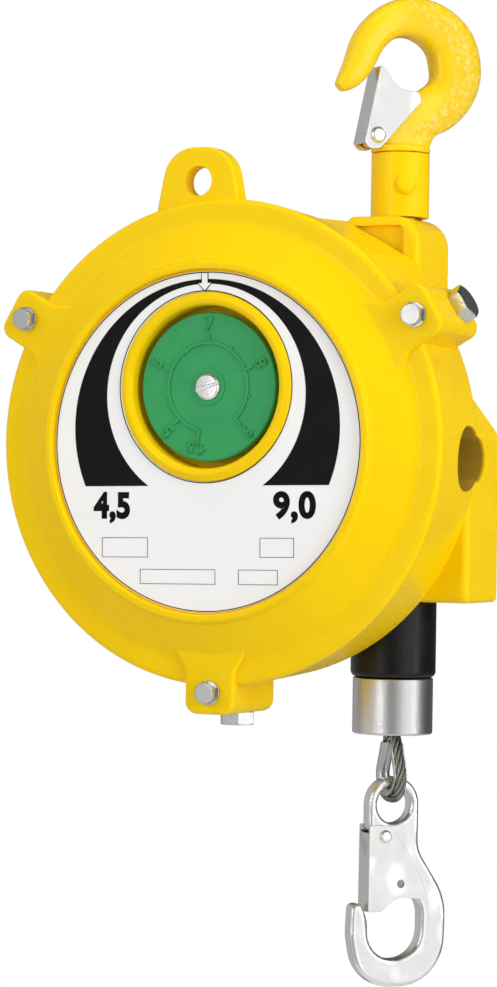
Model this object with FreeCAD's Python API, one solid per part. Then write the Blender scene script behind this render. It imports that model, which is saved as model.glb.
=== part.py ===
"""Spring balancer for hand tools: hangs from a swivelling hook and carries a tool on a wire rope.

The casing lies on its own axis, the Y axis of the casing frame: the name plate faces -Y at y = 0, +Z is up.
The load line, which the top hook, the rope and the snap hook share, is the vertical through LOAD_X, LOAD_Y.
Each piece is built in the casing frame and shifted at export, so that the origin is the seat of the top hook.
All lengths are in millimetres, all angles in degrees.
"""
import FreeCAD, Part
import math
import os

Vector = FreeCAD.Vector

# ---- driving dimensions ------------------------------------------------------------------------------
LOAD_X = 53.0                 # load line, right of the casing axis
LOAD_Y = 70.0                 # load line, behind the name plate
HOOK_SEAT_Z = 168.7           # inside top of the suspension hook's bowl
HOOK_TURN = 50.0              # both hooks are turned this far about the load line

CASING_R = 98.3               # front edge of the casing flank
CASING_REAR_R = 96.4          # rear edge of the flank, drawn in by the casting draft
PARTING_Y = 12.0              # joint face between front cover and main housing
FLANK_END_Y = 52.2            # the large ring ends here and the rope chamber begins
STEP_Y = 49.0                 # inside of the step between the two
REAR_Y = 86.0                 # outside of the back wall
WALL = 5.0                    # casting wall
SPRING_BAY_R = 90.5           # inside of the large ring
ROPE_BAY_R = 79.5             # inside of the rope chamber

PLATE_R = 68.3                # name plate
DIAL_Z = 22.0                 # dial axis above the casing axis
DIAL_R = 30.0
WELL_R = 32.7                 # dial well inside its rounded rim
RIM_R = 38.0                  # outside of that rim

LUG_ANGLES = (30.0, 150.0, 270.0)
LUG_BOLT_R = 100.7            # M5 cover bolts stand on this radius
LUG_END_R = 109.5
LUG_REAR_Y = 46.0
PAD_Y = 6.8                   # bolt pads stand proud of the flange face
SIDE_BOLT_Y = 33.0

EAR_X, EAR_Z, EAR_BORE_R = -11.0, 106.0, 6.1
WINDOW_Z = -5.2               # rope-change window: two overlapping bores along X
RING_WINDOW_Y, RING_WINDOW_R = 42.0, 13.2
BLOCK_WINDOW_Y, BLOCK_WINDOW_R = 57.0, 9.5
BOSS_LEFT_X, BOSS_RIGHT_X, BOSS_TOP_Z = 37.0, 69.5, 93.6
LEDGE_Z = 73.8                # top of the shoulder between boss and upper lug
GUIDE_Z = -63.3               # underside of the rope-guide block
GUIDE_RIGHT_X = 93.5

ROPE_R = 2.25
DRUM_PITCH = 4.9
DRUM_TURNS = 5
DRUM_TAPER = 1.8              # each groove is this much smaller in radius than the one before it
FALL_GROOVE = 3               # the rope leaves the drum from this groove, counted from 0 at the front
FALL_TOP_Z = -23.0            # below this height the falling rope stands clear of the winding
CUP_FLOOR_Y, DRUM_REAR_Y = 48.5, 78.4
ARBOR_R = 8.0
SPRING_COILS = 9

DIAL_MODULE, PINION_TEETH, LARGE_TEETH = 0.7, 12, 36     # arbor to idler and idler to dial, 1 : 3 each
IDLER_X, IDLER_Z = 12.70, 11.0          # idler pin, 16.8 mm from the arbor and from the dial axis
WORM_MODULE, WHEEL_TEETH, WORM_R = 1.25, 24, 3.9
WORM_Y, WORM_Z = 91.2, -18.9
CASE_REAR_Y = 97.6            # seat of the rear gear cover
RUNNING = 0.05                # radial clearance of a running fit

COLLAR_R, BUFFER_R = 16.5, 17.5
EYE_Z, EYE_BORE_R = -147.2, 7.7         # snap hook's eye


# ---- shapes from outlines ----------------------------------------------------------------------------
def outline(corners, at):
    """Closed wire through flat corners (u, v) or (u, v, radius); at(u, v) is the point in space."""
    runs = []
    count = len(corners)
    for n, corner in enumerate(corners):
        here = Vector(corner[0], corner[1], 0)
        radius = corner[2] if len(corner) > 2 else 0.0
        if radius == 0.0:
            runs.append([here])
            continue
        back = (Vector(corners[n - 1][0], corners[n - 1][1], 0) - here).normalize()
        ahead = (Vector(corners[(n + 1) % count][0], corners[(n + 1) % count][1], 0) - here).normalize()
        half = back.getAngle(ahead) / 2
        middle = (back + ahead).normalize()
        reach = radius / math.tan(half)
        crown = here + middle * (radius / math.sin(half) - radius)
        runs.append([here + back * reach, crown, here + ahead * reach])
    edges = []
    for n, run in enumerate(runs):
        if len(run) == 3:
            edges.append(Part.Arc(*[at(p.x, p.y) for p in run]).toShape())
        start, end = run[-1], runs[(n + 1) % count][0]
        if start.distanceToPoint(end) > 1e-6:
            edges.append(Part.makeLine(at(start.x, start.y), at(end.x, end.y)))
    return Part.Wire(edges)


def turned_y(corners, x=0.0, z=0.0):
    """Solid of revolution about the Y direction through (x, z), from corners (radius, y, corner radius)."""
    face = Part.Face(outline(corners, lambda r, y: Vector(x + r, y, z)))
    return face.revolve(Vector(x, 0, z), Vector(0, 1, 0), 360)


def turned_z(corners, x=0.0, y=0.0):
    """Solid of revolution about the vertical through (x, y), from corners (radius, z, corner radius)."""
    face = Part.Face(outline(corners, lambda r, z: Vector(x + r, y, z)))
    return face.revolve(Vector(x, y, 0), Vector(0, 0, 1), 360)


def slab_y(corners, front, rear):
    """Plate with an outline in X and Z, from y = front to y = rear."""
    face = Part.Face(outline(corners, lambda u, v: Vector(u, front, v)))
    return face.extrude(Vector(0, rear - front, 0))


def rod(radius, start, end):
    """Round bar between two points."""
    way = Vector(*end) - Vector(*start)
    return Part.makeCylinder(radius, way.Length, Vector(*start), way)


def disc_y(radius, front, rear, x=0.0, z=0.0):
    return rod(radius, (x, front, z), (x, rear, z))


def box(x, y, z):
    """Box from three (low, high) pairs."""
    return Part.makeBox(x[1] - x[0], y[1] - y[0], z[1] - z[0], Vector(x[0], y[0], z[0]))


def hexagon_bar(across_flats, start, end):
    """Hexagonal bar with its ends chamfered round, as on a bolt head."""
    way = Vector(*end) - Vector(*start)
    radius = across_flats / math.sqrt(3)
    flat = Part.makePolygon([
        Vector(radius * math.cos(math.radians(a)), radius * math.sin(math.radians(a)), 0)
        for a in range(0, 361, 60)
    ])
    bar = Part.Face(flat).extrude(Vector(0, 0, way.Length))
    drop = (radius - across_flats / 2) * 0.6
    cap = turned_z([(0, 0), (radius, 0), (radius, way.Length - drop),
                    (across_flats / 2, way.Length), (0, way.Length)])
    bar = bar.common(cap)
    bar.Placement = FreeCAD.Placement(Vector(*start), FreeCAD.Rotation(Vector(0, 0, 1), way))
    return bar


def fused(first, *others):
    return first.fuse(list(others)).removeSplitter()


def about_y(shape, angle):
    """Turns a shape that was drawn on the +X side to the given angle from +X towards +Z."""
    return shape.rotated(Vector(0, 0, 0), Vector(0, 1, 0), -angle)


def on_load_line(shape):
    """Brings a piece drawn in the XZ plane to the load line, turned with the hooks."""
    return shape.rotated(Vector(0, 0, 0), Vector(0, 0, 1), HOOK_TURN).translated(Vector(LOAD_X, LOAD_Y, 0))


def edges_where(shape, test):
    """Edges of which every vertex passes the test."""
    return [e for e in shape.Edges if all(test(v.Point) for v in e.Vertexes)]


# ---- gears -------------------------------------------------------------------------------------------
def gear_outline(module, teeth, tip, root, slack):
    """Corners of an involute spur gear; tip and root are heights in modules, slack thins each tooth in mm."""
    pitch_r = module * teeth / 2
    base_r = pitch_r * math.cos(math.radians(20))
    tip_r, root_r = pitch_r + tip * module, pitch_r - root * module

    def flank_angle(radius):
        roll = math.sqrt(max((radius / base_r) ** 2 - 1, 0))
        return roll - math.atan(roll)

    half_tooth = math.pi / (2 * teeth) - slack / (2 * pitch_r) + flank_angle(pitch_r)
    start_r = max(base_r, root_r)
    rising = [start_r + (tip_r - start_r) * step / 3 for step in range(4)]
    corners = []
    for tooth in range(teeth):
        middle = 2 * math.pi * tooth / teeth
        side = [(root_r, half_tooth)] if root_r < start_r else []
        side += [(r, half_tooth - flank_angle(r)) for r in rising]
        for r, a in [(r, -a) for r, a in side] + side[::-1]:
            corners.append((r * math.cos(middle + a), r * math.sin(middle + a)))
    return corners


def spur_gear(module, teeth, front, rear, bore_r, turn=0.0, tip=1.0, root=1.25, slack=0.16):
    """Spur gear on the Y axis; turn = 0 puts a tooth on +X."""
    gear = slab_y(gear_outline(module, teeth, tip, root, slack), front, rear)
    gear = gear.cut(disc_y(bore_r, front - 1, rear + 1))
    return about_y(gear, turn)


# ---- castings ----------------------------------------------------------------------------------------
def lug(front, rear, base_r):
    """Bolt lug on +X with hollow fillets where it springs from the ring."""
    half, flare = 11.0, 17.0
    return slab_y([(base_r, -flare), (92.0, -half, 7.0), (LUG_END_R, -half, 5.0),
                   (LUG_END_R, half, 5.0), (92.0, half, 7.0), (base_r, flare)], front, rear)


def front_cover():
    ring = turned_y([
        (0, 0.5), (69.2, 0.5), (69.2, -2.7, 0.8), (72.2, -2.7, 1.3), (73.2, -0.4, 1.2), (88.6, 9.0, 6.0),
        (CASING_R, 9.0, 2.4), (CASING_R, PARTING_Y), (90.2, PARTING_Y), (90.2, 15.5), (86.5, 15.5),
        (70.5, 5.5, 4.0), (0, 5.5),
    ])
    pads = []
    for angle in LUG_ANGLES:
        pad = lug(PAD_Y, PARTING_Y, 83.0)
        pad = pad.makeFillet(1.6, edges_where(pad, lambda p: p.y < PAD_Y + 0.1 and p.x > 90))
        pads.append(about_y(pad, angle))
    rim = turned_y([
        (WELL_R, 15.5), (WELL_R, -1.6, 2.2), (35.6, -2.3, 1.8), (RIM_R, -0.9, 1.4), (RIM_R, 15.5),
    ], z=DIAL_Z)
    floor = disc_y(RIM_R, 11.5, 15.5, z=DIAL_Z)
    post = disc_y(3.0, 3.4, 12.0, z=DIAL_Z)
    cover = ring.cut(disc_y(WELL_R, -5, 11, z=DIAL_Z))
    cover = fused(cover, *pads, rim, floor, post)
    bores = [disc_y(7.5, 8.0, 20.0), disc_y(1.6, 0.0, 11.0, z=DIAL_Z), disc_y(2.0, 8.0, 15.0, IDLER_X, IDLER_Z)]
    for angle in LUG_ANGLES:
        bores.append(about_y(disc_y(2.75, 0.0, 20.0, x=LUG_BOLT_R), angle))
    return cover.cut(bores)


def hook_boss():
    """Block over the rope chamber that carries the swivel of the suspension hook."""
    block = slab_y([(BOSS_LEFT_X, 30.0), (BOSS_LEFT_X, BOSS_TOP_Z, 3.0), (BOSS_RIGHT_X, BOSS_TOP_Z, 12.0),
                    (BOSS_RIGHT_X, 30.0)], FLANK_END_Y - 1.0, REAR_Y - 1.0)
    block = block.makeFillet(3.0, edges_where(block, lambda p: abs(p.x - BOSS_RIGHT_X) < 0.1))
    pocket = slab_y([(30.0, 60.0), (30.0, 89.6), (BOSS_RIGHT_X - 6.5, 89.6, 2.5), (BOSS_RIGHT_X - 6.5, 60.0)],
                    FLANK_END_Y - 2.0, FLANK_END_Y + 6.0)
    return block.cut(pocket)


def boss_shoulder():
    """Sill under the boss's recess that runs forward over the flank and down to the upper lug."""
    front = [(33.0, 89.0), (36.0, 90.6), (62.2, 75.6), (66.4, LEDGE_Z - 2.0), (66.4, 50.0), (33.0, 50.0)]
    rear = [(34.0, 91.9), (37.5, 91.7), (63.9, 77.0), (BOSS_RIGHT_X - 0.4, LEDGE_Z), (BOSS_RIGHT_X - 0.4, 50.0),
            (34.0, 50.0)]
    ends = [outline(corners, lambda u, v, y=y: Vector(u, y, v))
            for corners, y in ((front, PARTING_Y + 4.0), (rear, FLANK_END_Y))]
    sill = Part.makeLoft(ends, True, True)
    return sill.cut(disc_y(SPRING_BAY_R + 1.0, PARTING_Y, FLANK_END_Y + 1.0))


def guide_block():
    """Block at the lower right that guides the rope out and gives the stop buffer its seat."""
    block = slab_y([(26.0, GUIDE_Z), (GUIDE_RIGHT_X, GUIDE_Z, 2.0), (GUIDE_RIGHT_X, 5.0, 8.0),
                    (71.0, 34.0), (26.0, 10.0)], FLANK_END_Y - 2.0, REAR_Y - 2.0)
    front = edges_where(block, lambda p: p.x > GUIDE_RIGHT_X - 0.1)
    return block.makeFillet(3.0, front)


def safety_ear():
    """Eye for the second, safety suspension."""
    plate = slab_y([(EAR_X - 20.5, 86.0), (EAR_X - 13.8, EAR_Z + 13.8, 13.7),
                    (EAR_X + 13.8, EAR_Z + 13.8, 13.7), (EAR_X + 20.5, 86.0)], PARTING_Y, PARTING_Y + 8.0)
    plate = plate.makeFillet(1.2, edges_where(plate, lambda p: p.y < PARTING_Y + 0.1 and p.z > 87.0))
    return plate.cut(disc_y(SPRING_BAY_R + 1.0, PARTING_Y - 1.0, PARTING_Y + 9.0))


def main_housing():
    shell = turned_y([
        (0, REAR_Y - WALL), (ROPE_BAY_R - 3.0, REAR_Y - WALL, 3.0), (ROPE_BAY_R, STEP_Y),
        (SPRING_BAY_R - 0.8, STEP_Y, 2.0), (SPRING_BAY_R, PARTING_Y), (CASING_R, PARTING_Y),
        (CASING_REAR_R, FLANK_END_Y, 2.5), (ROPE_BAY_R + WALL, FLANK_END_Y, 2.0),
        (ROPE_BAY_R + 1.5, REAR_Y, 6.0), (0, REAR_Y),
    ])
    lugs = []
    for angle in LUG_ANGLES:
        body = lug(PARTING_Y, LUG_REAR_Y, 83.0)
        body = body.makeFillet(2.5, edges_where(body, lambda p: p.y > LUG_REAR_Y - 0.1 and p.x > 90.0))
        lugs.append(about_y(body.cut(disc_y(SPRING_BAY_R + 1.0, PARTING_Y - 1, LUG_REAR_Y + 1)), angle))
    gear_case = turned_y([(0, REAR_Y - 1.0), (38.0, REAR_Y - 1.0), (36.5, CASE_REAR_Y, 1.5), (0, CASE_REAR_Y)])
    worm_boss = rod(9.5, (-56.0, WORM_Y, WORM_Z), (0, WORM_Y, WORM_Z))
    worm_boss = worm_boss.common(box((-60, 0), (REAR_Y - 2.0, CASE_REAR_Y), (-40, 0)))
    housing = fused(shell, *lugs, safety_ear(), hook_boss(), boss_shoulder(), guide_block(), gear_case, worm_boss)

    housing = housing.cut([
        disc_y(ROPE_BAY_R - 3.0, STEP_Y - 1.0, REAR_Y - WALL - 3.0),
        disc_y(ROPE_BAY_R - 6.0, REAR_Y - WALL - 4.0, REAR_Y - WALL),
        box((44.0, 88.5), (61.0, 79.5), (GUIDE_Z + 7.0, -22.0)),       # cored-out guide block
    ])
    seat = rod(BUFFER_R + 3.0, (LOAD_X, LOAD_Y, GUIDE_Z), (LOAD_X, LOAD_Y, GUIDE_Z + 4.0))
    seat = seat.common(box((30.0, 80.0), (FLANK_END_Y, REAR_Y - 2.0), (-70.0, -50.0)))
    housing = fused(housing, seat)
    cuts = [
        rod(BUFFER_R + 0.3, (LOAD_X, LOAD_Y, -100.0), (LOAD_X, LOAD_Y, GUIDE_Z)),     # room for the buffer
        rod(12.5, (LOAD_X, LOAD_Y, 40.0), (LOAD_X, LOAD_Y, 74.0)),     # room for the spindle nut
        rod(9.0, (LOAD_X, LOAD_Y, 70.0), (LOAD_X, LOAD_Y, 100.0)),     # swivel bush
        rod(8.0, (LOAD_X, LOAD_Y, GUIDE_Z - 5.0), (LOAD_X, LOAD_Y, -50.0)),   # rope guide bush
        rod(RING_WINDOW_R, (85.5, RING_WINDOW_Y, WINDOW_Z), (100.0, RING_WINDOW_Y, WINDOW_Z)),
        rod(BLOCK_WINDOW_R, (70.0, BLOCK_WINDOW_Y, WINDOW_Z), (100.0, BLOCK_WINDOW_Y, WINDOW_Z)),
        disc_y(EAR_BORE_R, 5.0, 25.0, x=EAR_X, z=EAR_Z),
        disc_y(11.0, REAR_Y - WALL - 2.0, 100.0),                      # rear arbor bush
        disc_y(17.5, 87.5, 100.0),                                     # worm wheel
        box((-12.0, 12.0), (85.4, 100.0), (WORM_Z - 6.0, -10.0)),      # worm trough
        rod(5.0 + RUNNING, (-60.0, WORM_Y, WORM_Z), (0, WORM_Y, WORM_Z)),
        rod(2.5 + RUNNING, (0, WORM_Y, WORM_Z), (18.0, WORM_Y, WORM_Z)),
    ]
    for angle in LUG_ANGLES:
        cuts.append(about_y(disc_y(2.55, 5.0, 27.0, x=LUG_BOLT_R), angle))
        cuts.append(about_y(rod(4.05, (86.0, SIDE_BOLT_Y, 0), (112.0, SIDE_BOLT_Y, 0)), angle))
    for angle in (0, 90, 180, 270):
        cuts.append(about_y(disc_y(1.6, 89.0, 99.0, x=32.0), angle))
    return housing.cut(cuts)


def name_plate():
    plate = disc_y(PLATE_R, 0.0, 0.5)
    return plate.cut(disc_y(RIM_R + 0.2, -1.0, 1.0, z=DIAL_Z))


def rear_gear_cover():
    rear = CASE_REAR_Y + 3.0
    cover = turned_y([(0, CASE_REAR_Y), (36.5, CASE_REAR_Y), (36.5, rear, 1.2), (0, rear)])
    cover = cover.cut(disc_y(9.5, CASE_REAR_Y - 1.0, CASE_REAR_Y + 1.4))
    return cover.cut([about_y(disc_y(1.8, 96.0, rear + 1, x=32.0), a) for a in (0, 90, 180, 270)])


def bush_y(inner_r, outer_r, flange_r, front, rear, flange_front):
    """Flanged bronze bush on the casing axis; flange_front tells at which end its flange sits."""
    body = disc_y(outer_r, front, rear)
    flange = disc_y(flange_r, front, front + 1.2) if flange_front else disc_y(flange_r, rear - 1.2, rear)
    return fused(body, flange).cut(disc_y(inner_r, front - 1, rear + 1))


def bush_z(inner_r, outer_r, low, high):
    return rod(outer_r, (LOAD_X, LOAD_Y, low), (LOAD_X, LOAD_Y, high)).cut(
        rod(inner_r, (LOAD_X, LOAD_Y, low - 1), (LOAD_X, LOAD_Y, high + 1)))


# ---- fasteners ---------------------------------------------------------------------------------------
def cover_bolts():
    """Three M5 hexagon bolts, drawn on +X and set on the three lugs."""
    bolt = fused(hexagon_bar(8.0, (LUG_BOLT_R, PAD_Y - 1.0, 0), (LUG_BOLT_R, PAD_Y - 4.5, 0)),
                 rod(2.5, (LUG_BOLT_R, PAD_Y - 1.5, 0), (LUG_BOLT_R, 25.0, 0)))
    return Part.makeCompound([about_y(bolt, a) for a in LUG_ANGLES])


def cover_washers():
    washer = disc_y(5.0, PAD_Y - 1.0, PAD_Y, x=LUG_BOLT_R).cut(disc_y(2.6, 0, 9, x=LUG_BOLT_R))
    return Part.makeCompound([about_y(washer, a) for a in LUG_ANGLES])


def side_bolts():
    """Three M8 hexagon bolts, screwed radially into the lugs."""
    head = hexagon_bar(13.0, (LUG_END_R, SIDE_BOLT_Y, 0), (LUG_END_R + 5.3, SIDE_BOLT_Y, 0))
    shank = rod(4.0, (91.0, SIDE_BOLT_Y, 0), (LUG_END_R + 1.0, SIDE_BOLT_Y, 0))
    bolt = fused(head, shank)
    return Part.makeCompound([about_y(bolt, a) for a in LUG_ANGLES])


def gear_cover_screws():
    """Four cheese-head screws with slots."""
    seat = CASE_REAR_Y + 3.0
    screw = fused(disc_y(1.55, 90.0, seat + 1, x=32.0), disc_y(2.9, seat, seat + 2, x=32.0))
    screw = screw.cut(box((28.0, 36.0), (seat + 1.2, seat + 3), (-0.4, 0.4)))
    return Part.makeCompound([about_y(screw, a) for a in (0, 90, 180, 270)])


# ---- suspension hook ---------------------------------------------------------------------------------
def hook_section(at, direction, half_width, half_depth):
    """Rounded section across the hook's bar; direction is the bar's, measured from +X towards +Z."""
    across = Vector(-math.sin(math.radians(direction)), 0, math.cos(math.radians(direction)))
    points = []
    for step in range(16):
        angle = 2 * math.pi * step / 16
        c, s = math.cos(angle), math.sin(angle)
        wide = half_width * math.copysign(abs(c) ** 0.8, c)
        deep = half_depth * math.copysign(abs(s) ** 0.8, s)
        points.append(Vector(at[0], 0, at[1]) + across * wide + Vector(0, deep, 0))
    curve = Part.BSplineCurve()
    curve.interpolate(points, PeriodicFlag=True)
    return Part.Wire(curve.toShape())


def suspension_hook():
    """Forged hook: a bar of changing section lofted round the bowl, on a round collar and shank."""
    bar = Part.makeLoft([
        hook_section((0.0, 116.0), 90, 11.0, 3.9),
        hook_section((0.5, 121.5), 84, 11.6, 3.9),
        hook_section((2.6, 128.0), 66, 11.2, 3.9),
        hook_section((8.4, 135.8), 48, 10.2, 4.0),
        hook_section((18.8, 142.6), 44, 10.4, 5.2),
        hook_section((23.6, 150.2), 68, 10.9, 7.0),
        hook_section((24.3, 158.4), 90, 11.2, 8.0),
        hook_section((21.4, 167.4), 118, 10.7, 8.0),
        hook_section((13.0, 174.6), 148, 9.6, 8.0),
        hook_section((1.0, 176.9), 180, 8.2, 8.0),
        hook_section((-9.6, 172.6), 214, 7.0, 7.6),
        hook_section((-16.6, 164.4), 240, 6.6, 6.8),
        hook_section((-20.4, 156.0), 240, 6.0, 5.8),
        hook_section((-25.0, 149.6), 226, 4.4, 4.4),
        hook_section((-28.6, 146.4), 222, 2.2, 2.4),
    ], True, False)
    collar = turned_z([(0, 120.7), (12.2, 120.7, 0.6), (12.2, 123.0, 1.6), (9.0, 124.2), (0, 124.2)])
    shank = turned_z([(0, 100.0), (7.0, 100.0), (8.0, 101.0), (8.0, 121.0), (0, 121.0)])
    lug_plate = slab_y([(-16.6, 122.5, 3.4), (-16.6, 130.9, 3.4), (-9.5, 131.2), (-3.0, 136.0), (0, 122.5)],
                       -2.6, 2.6)
    hook = fused(bar.cut(rod(40, (0, 0, 90), (0, 0, 120.9))), collar, shank, lug_plate)
    hook = hook.cut([rod(2.05, (-13.0, -20, 127.3), (-13.0, 20, 127.3)), cross_bore(3.05)])
    return on_load_line(hook)


def cross_bore(radius):
    """Bore of the cross pin through socket and shank, in the hook's own plane frame."""
    way = Vector(math.sin(math.radians(-15)), -math.cos(math.radians(-15)), 0)
    start = Vector(0, 0, 107.0) - way * 20
    return Part.makeCylinder(radius, 40, start, way)


def socket_pin():
    """Cross pin with a domed head at both ends."""
    way = Vector(math.sin(math.radians(-15)), -math.cos(math.radians(-15)), 0)
    pin = turned_z([(0, -12.8), (3.0, -12.8), (3.0, 12.8), (0, 12.8)])
    dome = turned_z([(0, 11.2), (4.35, 11.2), (4.35, 12.4, 0.4), (3.2, 14.0, 1.6), (0, 14.3)])
    other = dome.mirror(Vector(0, 0, 0), Vector(0, 0, 1))
    pin = fused(pin, dome, other).common(Part.makeCylinder(6, 40, Vector(0, 0, -20)))
    pin = pin.cut(Part.makeCylinder(12.05, 40, way * -20, way).cut(
        Part.makeCylinder(3.0, 60, Vector(0, 0, -30))))
    pin.Placement = FreeCAD.Placement(Vector(0, 0, 107.0), FreeCAD.Rotation(Vector(0, 0, 1), way))
    return on_load_line(pin)


def hook_socket():
    body = turned_z([(0, 93.9), (12.0, 93.9, 0.4), (12.0, 120.5, 0.8), (0, 120.5)])
    body = body.cut([rod(8.0 + RUNNING, (0, 0, 90), (0, 0, 130)), cross_bore(3.05)])
    return on_load_line(body)


def hook_spindle():
    return turned_z([(0, 60.5), (6.2, 60.5), (7.0, 61.3), (7.0, 93.6), (8.0, 94.0), (8.0, 99.6), (0, 99.6)],
                    LOAD_X, LOAD_Y)


def spindle_nut():
    nut = hexagon_bar(18.0, (LOAD_X, LOAD_Y, 72.3), (LOAD_X, LOAD_Y, 63.0))
    return nut.cut(rod(7.0, (LOAD_X, LOAD_Y, 60), (LOAD_X, LOAD_Y, 75)))


def thrust_washer():
    return bush_z(7.0 + RUNNING, 11.5, 72.3, 73.7)


def channel(web, cheek, half_width, sheet):
    """Folded sheet channel: cheeks of one outline on both sides of a web given as a second outline."""
    side = slab_y(cheek, half_width - sheet, half_width)
    other = side.mirror(Vector(0, 0, 0), Vector(0, 1, 0))
    back = slab_y(web, -half_width, half_width)
    return fused(back, side, other)


def hook_latch():
    """Safety latch: a folded sheet channel that straddles the hook's lug and rests inside the tip."""
    cheek = [(-12.3, 155.6, 0.6), (-19.1, 124.2, 1.0), (-17.0, 121.6, 2.6), (-12.2, 121.6, 4.0),
             (6.6, 142.2, 2.2), (5.4, 146.0, 2.2), (-3.8, 146.4, 8.0), (-10.8, 155.3, 0.5)]
    web = [(-12.3, 155.6), (-19.1, 124.2), (-17.9, 124.0), (-11.1, 155.4)]
    latch = channel(web, cheek, 5.4, 1.1)
    return on_load_line(latch.cut(rod(2.05, (-13.0, -20, 127.3), (-13.0, 20, 127.3))))


def rivet(at, half_length, radius, head_r):
    """Rivet with two low domed heads, along Y in the hook's plane frame."""
    half = turned_y([(0, 0), (radius, 0), (radius, half_length), (head_r, half_length),
                     (head_r * 0.75, half_length + 1.0, 0.8), (0, half_length + 1.2)], at[0], at[1])
    return on_load_line(fused(half, half.mirror(Vector(0, 0, 0), Vector(0, 1, 0))))


def coil_spring(at, start, end, radius, wire_r, turns):
    """Small torsion spring: a helix of square wire along Y in the hook's plane frame."""
    helix = Part.makeHelix((end - start) / turns, end - start, radius)
    ring = Part.makePolygon([Vector(radius + wire_r * a, 0, wire_r * b)
                             for a, b in ((-1, -1), (1, -1), (1, 1), (-1, 1), (-1, -1))])
    coil = Part.Wire(helix).makePipeShell([ring], True, True)
    coil.Placement = FreeCAD.Placement(Vector(at[0], start, at[1]),
                                       FreeCAD.Rotation(Vector(0, 0, 1), Vector(0, 1, 0)))
    return on_load_line(coil)


def latch_spring():
    """The latch's spring: one coil on each side of the hook's lug."""
    near = coil_spring((-13.0, 127.3), -3.9, -3.1, 2.7, 0.22, 1)
    far = coil_spring((-13.0, 127.3), 3.1, 3.9, 2.7, 0.22, 1)
    return Part.makeCompound([near, far])


# ---- drum, mainspring and arbor ----------------------------------------------------------------------
def groove_centres():
    """(rope centre radius, y) of each groove; the rope's fall leaves one of them along the load line."""
    steps = [n - FALL_GROOVE for n in range(DRUM_TURNS)]
    return [(LOAD_X - DRUM_TAPER * step, LOAD_Y + DRUM_PITCH * step) for step in steps]


def rope_drum():
    """Cast drum: a cup that holds the mainspring, and a conical grooved barrel behind it."""
    front_r, front_y = groove_centres()[0]
    rear_r, rear_y = groove_centres()[-1]
    web_y = CUP_FLOOR_Y + 3.5
    drum = turned_y([
        (11.0, 44.0), (16.5, 44.0), (16.5, CUP_FLOOR_Y - 3.0, 2.0), (81.5, CUP_FLOOR_Y - 3.0, 2.0),
        (81.5, 20.8), (84.5, 20.8, 0.6), (84.5, CUP_FLOOR_Y, 1.5), (73.5, CUP_FLOOR_Y, 2.0),
        (73.5, 51.6, 1.0), (front_r - 0.4, 52.2, 0.6), (front_r - 0.4, front_y),
        (rear_r - 0.4, rear_y), (rear_r - 0.4, rear_y + 1.6), (rear_r + 5.0, DRUM_REAR_Y - 0.8),
        (rear_r + 5.0, DRUM_REAR_Y), (rear_r - 5.0, DRUM_REAR_Y),
        (front_r - 9.0, web_y, 3.0), (16.5, web_y, 3.0), (16.5, DRUM_REAR_Y), (11.0, DRUM_REAR_Y),
    ])
    grooves = [turned_y_ring(r, y, ROPE_R + 0.12) for r, y in groove_centres()]
    rib = box((15.0, rear_r - 5.5), (web_y - 1.0, DRUM_REAR_Y - 0.5), (-1.75, 1.75))
    ribs = [about_y(rib, 60 * n + 30) for n in range(6)]
    return fused(drum.cut(grooves), *ribs)


def turned_y_ring(ring_r, y, wire_r):
    return Part.makeTorus(ring_r, wire_r, Vector(0, y, 0), Vector(0, 1, 0))


def rope_winding():
    """The wound rope, drawn as one closed turn in each groove."""
    return Part.makeCompound([turned_y_ring(r, y, ROPE_R) for r, y in groove_centres()])


def spring_cover():
    """Sheet lid of the spring cup."""
    return turned_y([(9.5, 18.6), (84.5, 18.6, 0.8), (84.5, 20.8), (9.5, 20.8)])


def mainspring():
    """Flat spiral of spring steel, drawn as alternating half circles."""
    strip, front, rear = 1.4, 22.0, 43.7
    pitch = 7.2
    outer_r = 81.0
    edges_out, edges_in = [], []
    radius, side, shift = outer_r, 1, 0.0
    for half in range(2 * SPRING_COILS):
        for offset, edges in ((0.0, edges_out), (strip, edges_in)):
            r = radius - offset
            edges.append(Part.Arc(Vector(shift + side * r, 0, 0), Vector(shift, 0, side * r),
                                  Vector(shift - side * r, 0, 0)).toShape())
        shift -= side * pitch / 2
        radius -= pitch / 2
        side = -side
    first = Part.makeLine(edges_out[0].valueAt(edges_out[0].FirstParameter),
                          edges_in[0].valueAt(edges_in[0].FirstParameter))
    last = Part.makeLine(edges_out[-1].valueAt(edges_out[-1].LastParameter),
                         edges_in[-1].valueAt(edges_in[-1].LastParameter))
    wire = Part.Wire(Part.__sortEdges__(edges_out + edges_in + [first, last]))
    return Part.Face(wire).extrude(Vector(0, rear - front, 0)).translated(Vector(0, front, 0))


def arbor():
    """Central shaft with the spring hub, journals, and flats for pinion and worm wheel."""
    shaft = turned_y([
        (0, 7.0), (2.5, 7.0, 0.3), (2.5, 11.2), (5.5, 11.2), (5.5, 18.0), (ARBOR_R, 18.0), (ARBOR_R, 22.0),
        (14.0, 22.0, 0.6),
        (14.0, 42.5, 0.6), (ARBOR_R, 42.5), (ARBOR_R, 87.8), (6.0, 87.8), (6.0, 97.4, 0.5), (0, 97.4),
    ])
    slot = box((8.0, 16.0), (22.5, 42.0), (-1.1, 1.1))
    return shaft.cut(slot)


def idler_angle():
    """Direction from the arbor to the idler pin."""
    return math.degrees(math.atan2(IDLER_Z, IDLER_X))


def dial_pinion():
    """Pinion on the front end of the arbor, with one tooth pointing at the idler."""
    return spur_gear(DIAL_MODULE, PINION_TEETH, 8.0, 10.9, 2.5, turn=idler_angle())


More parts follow.
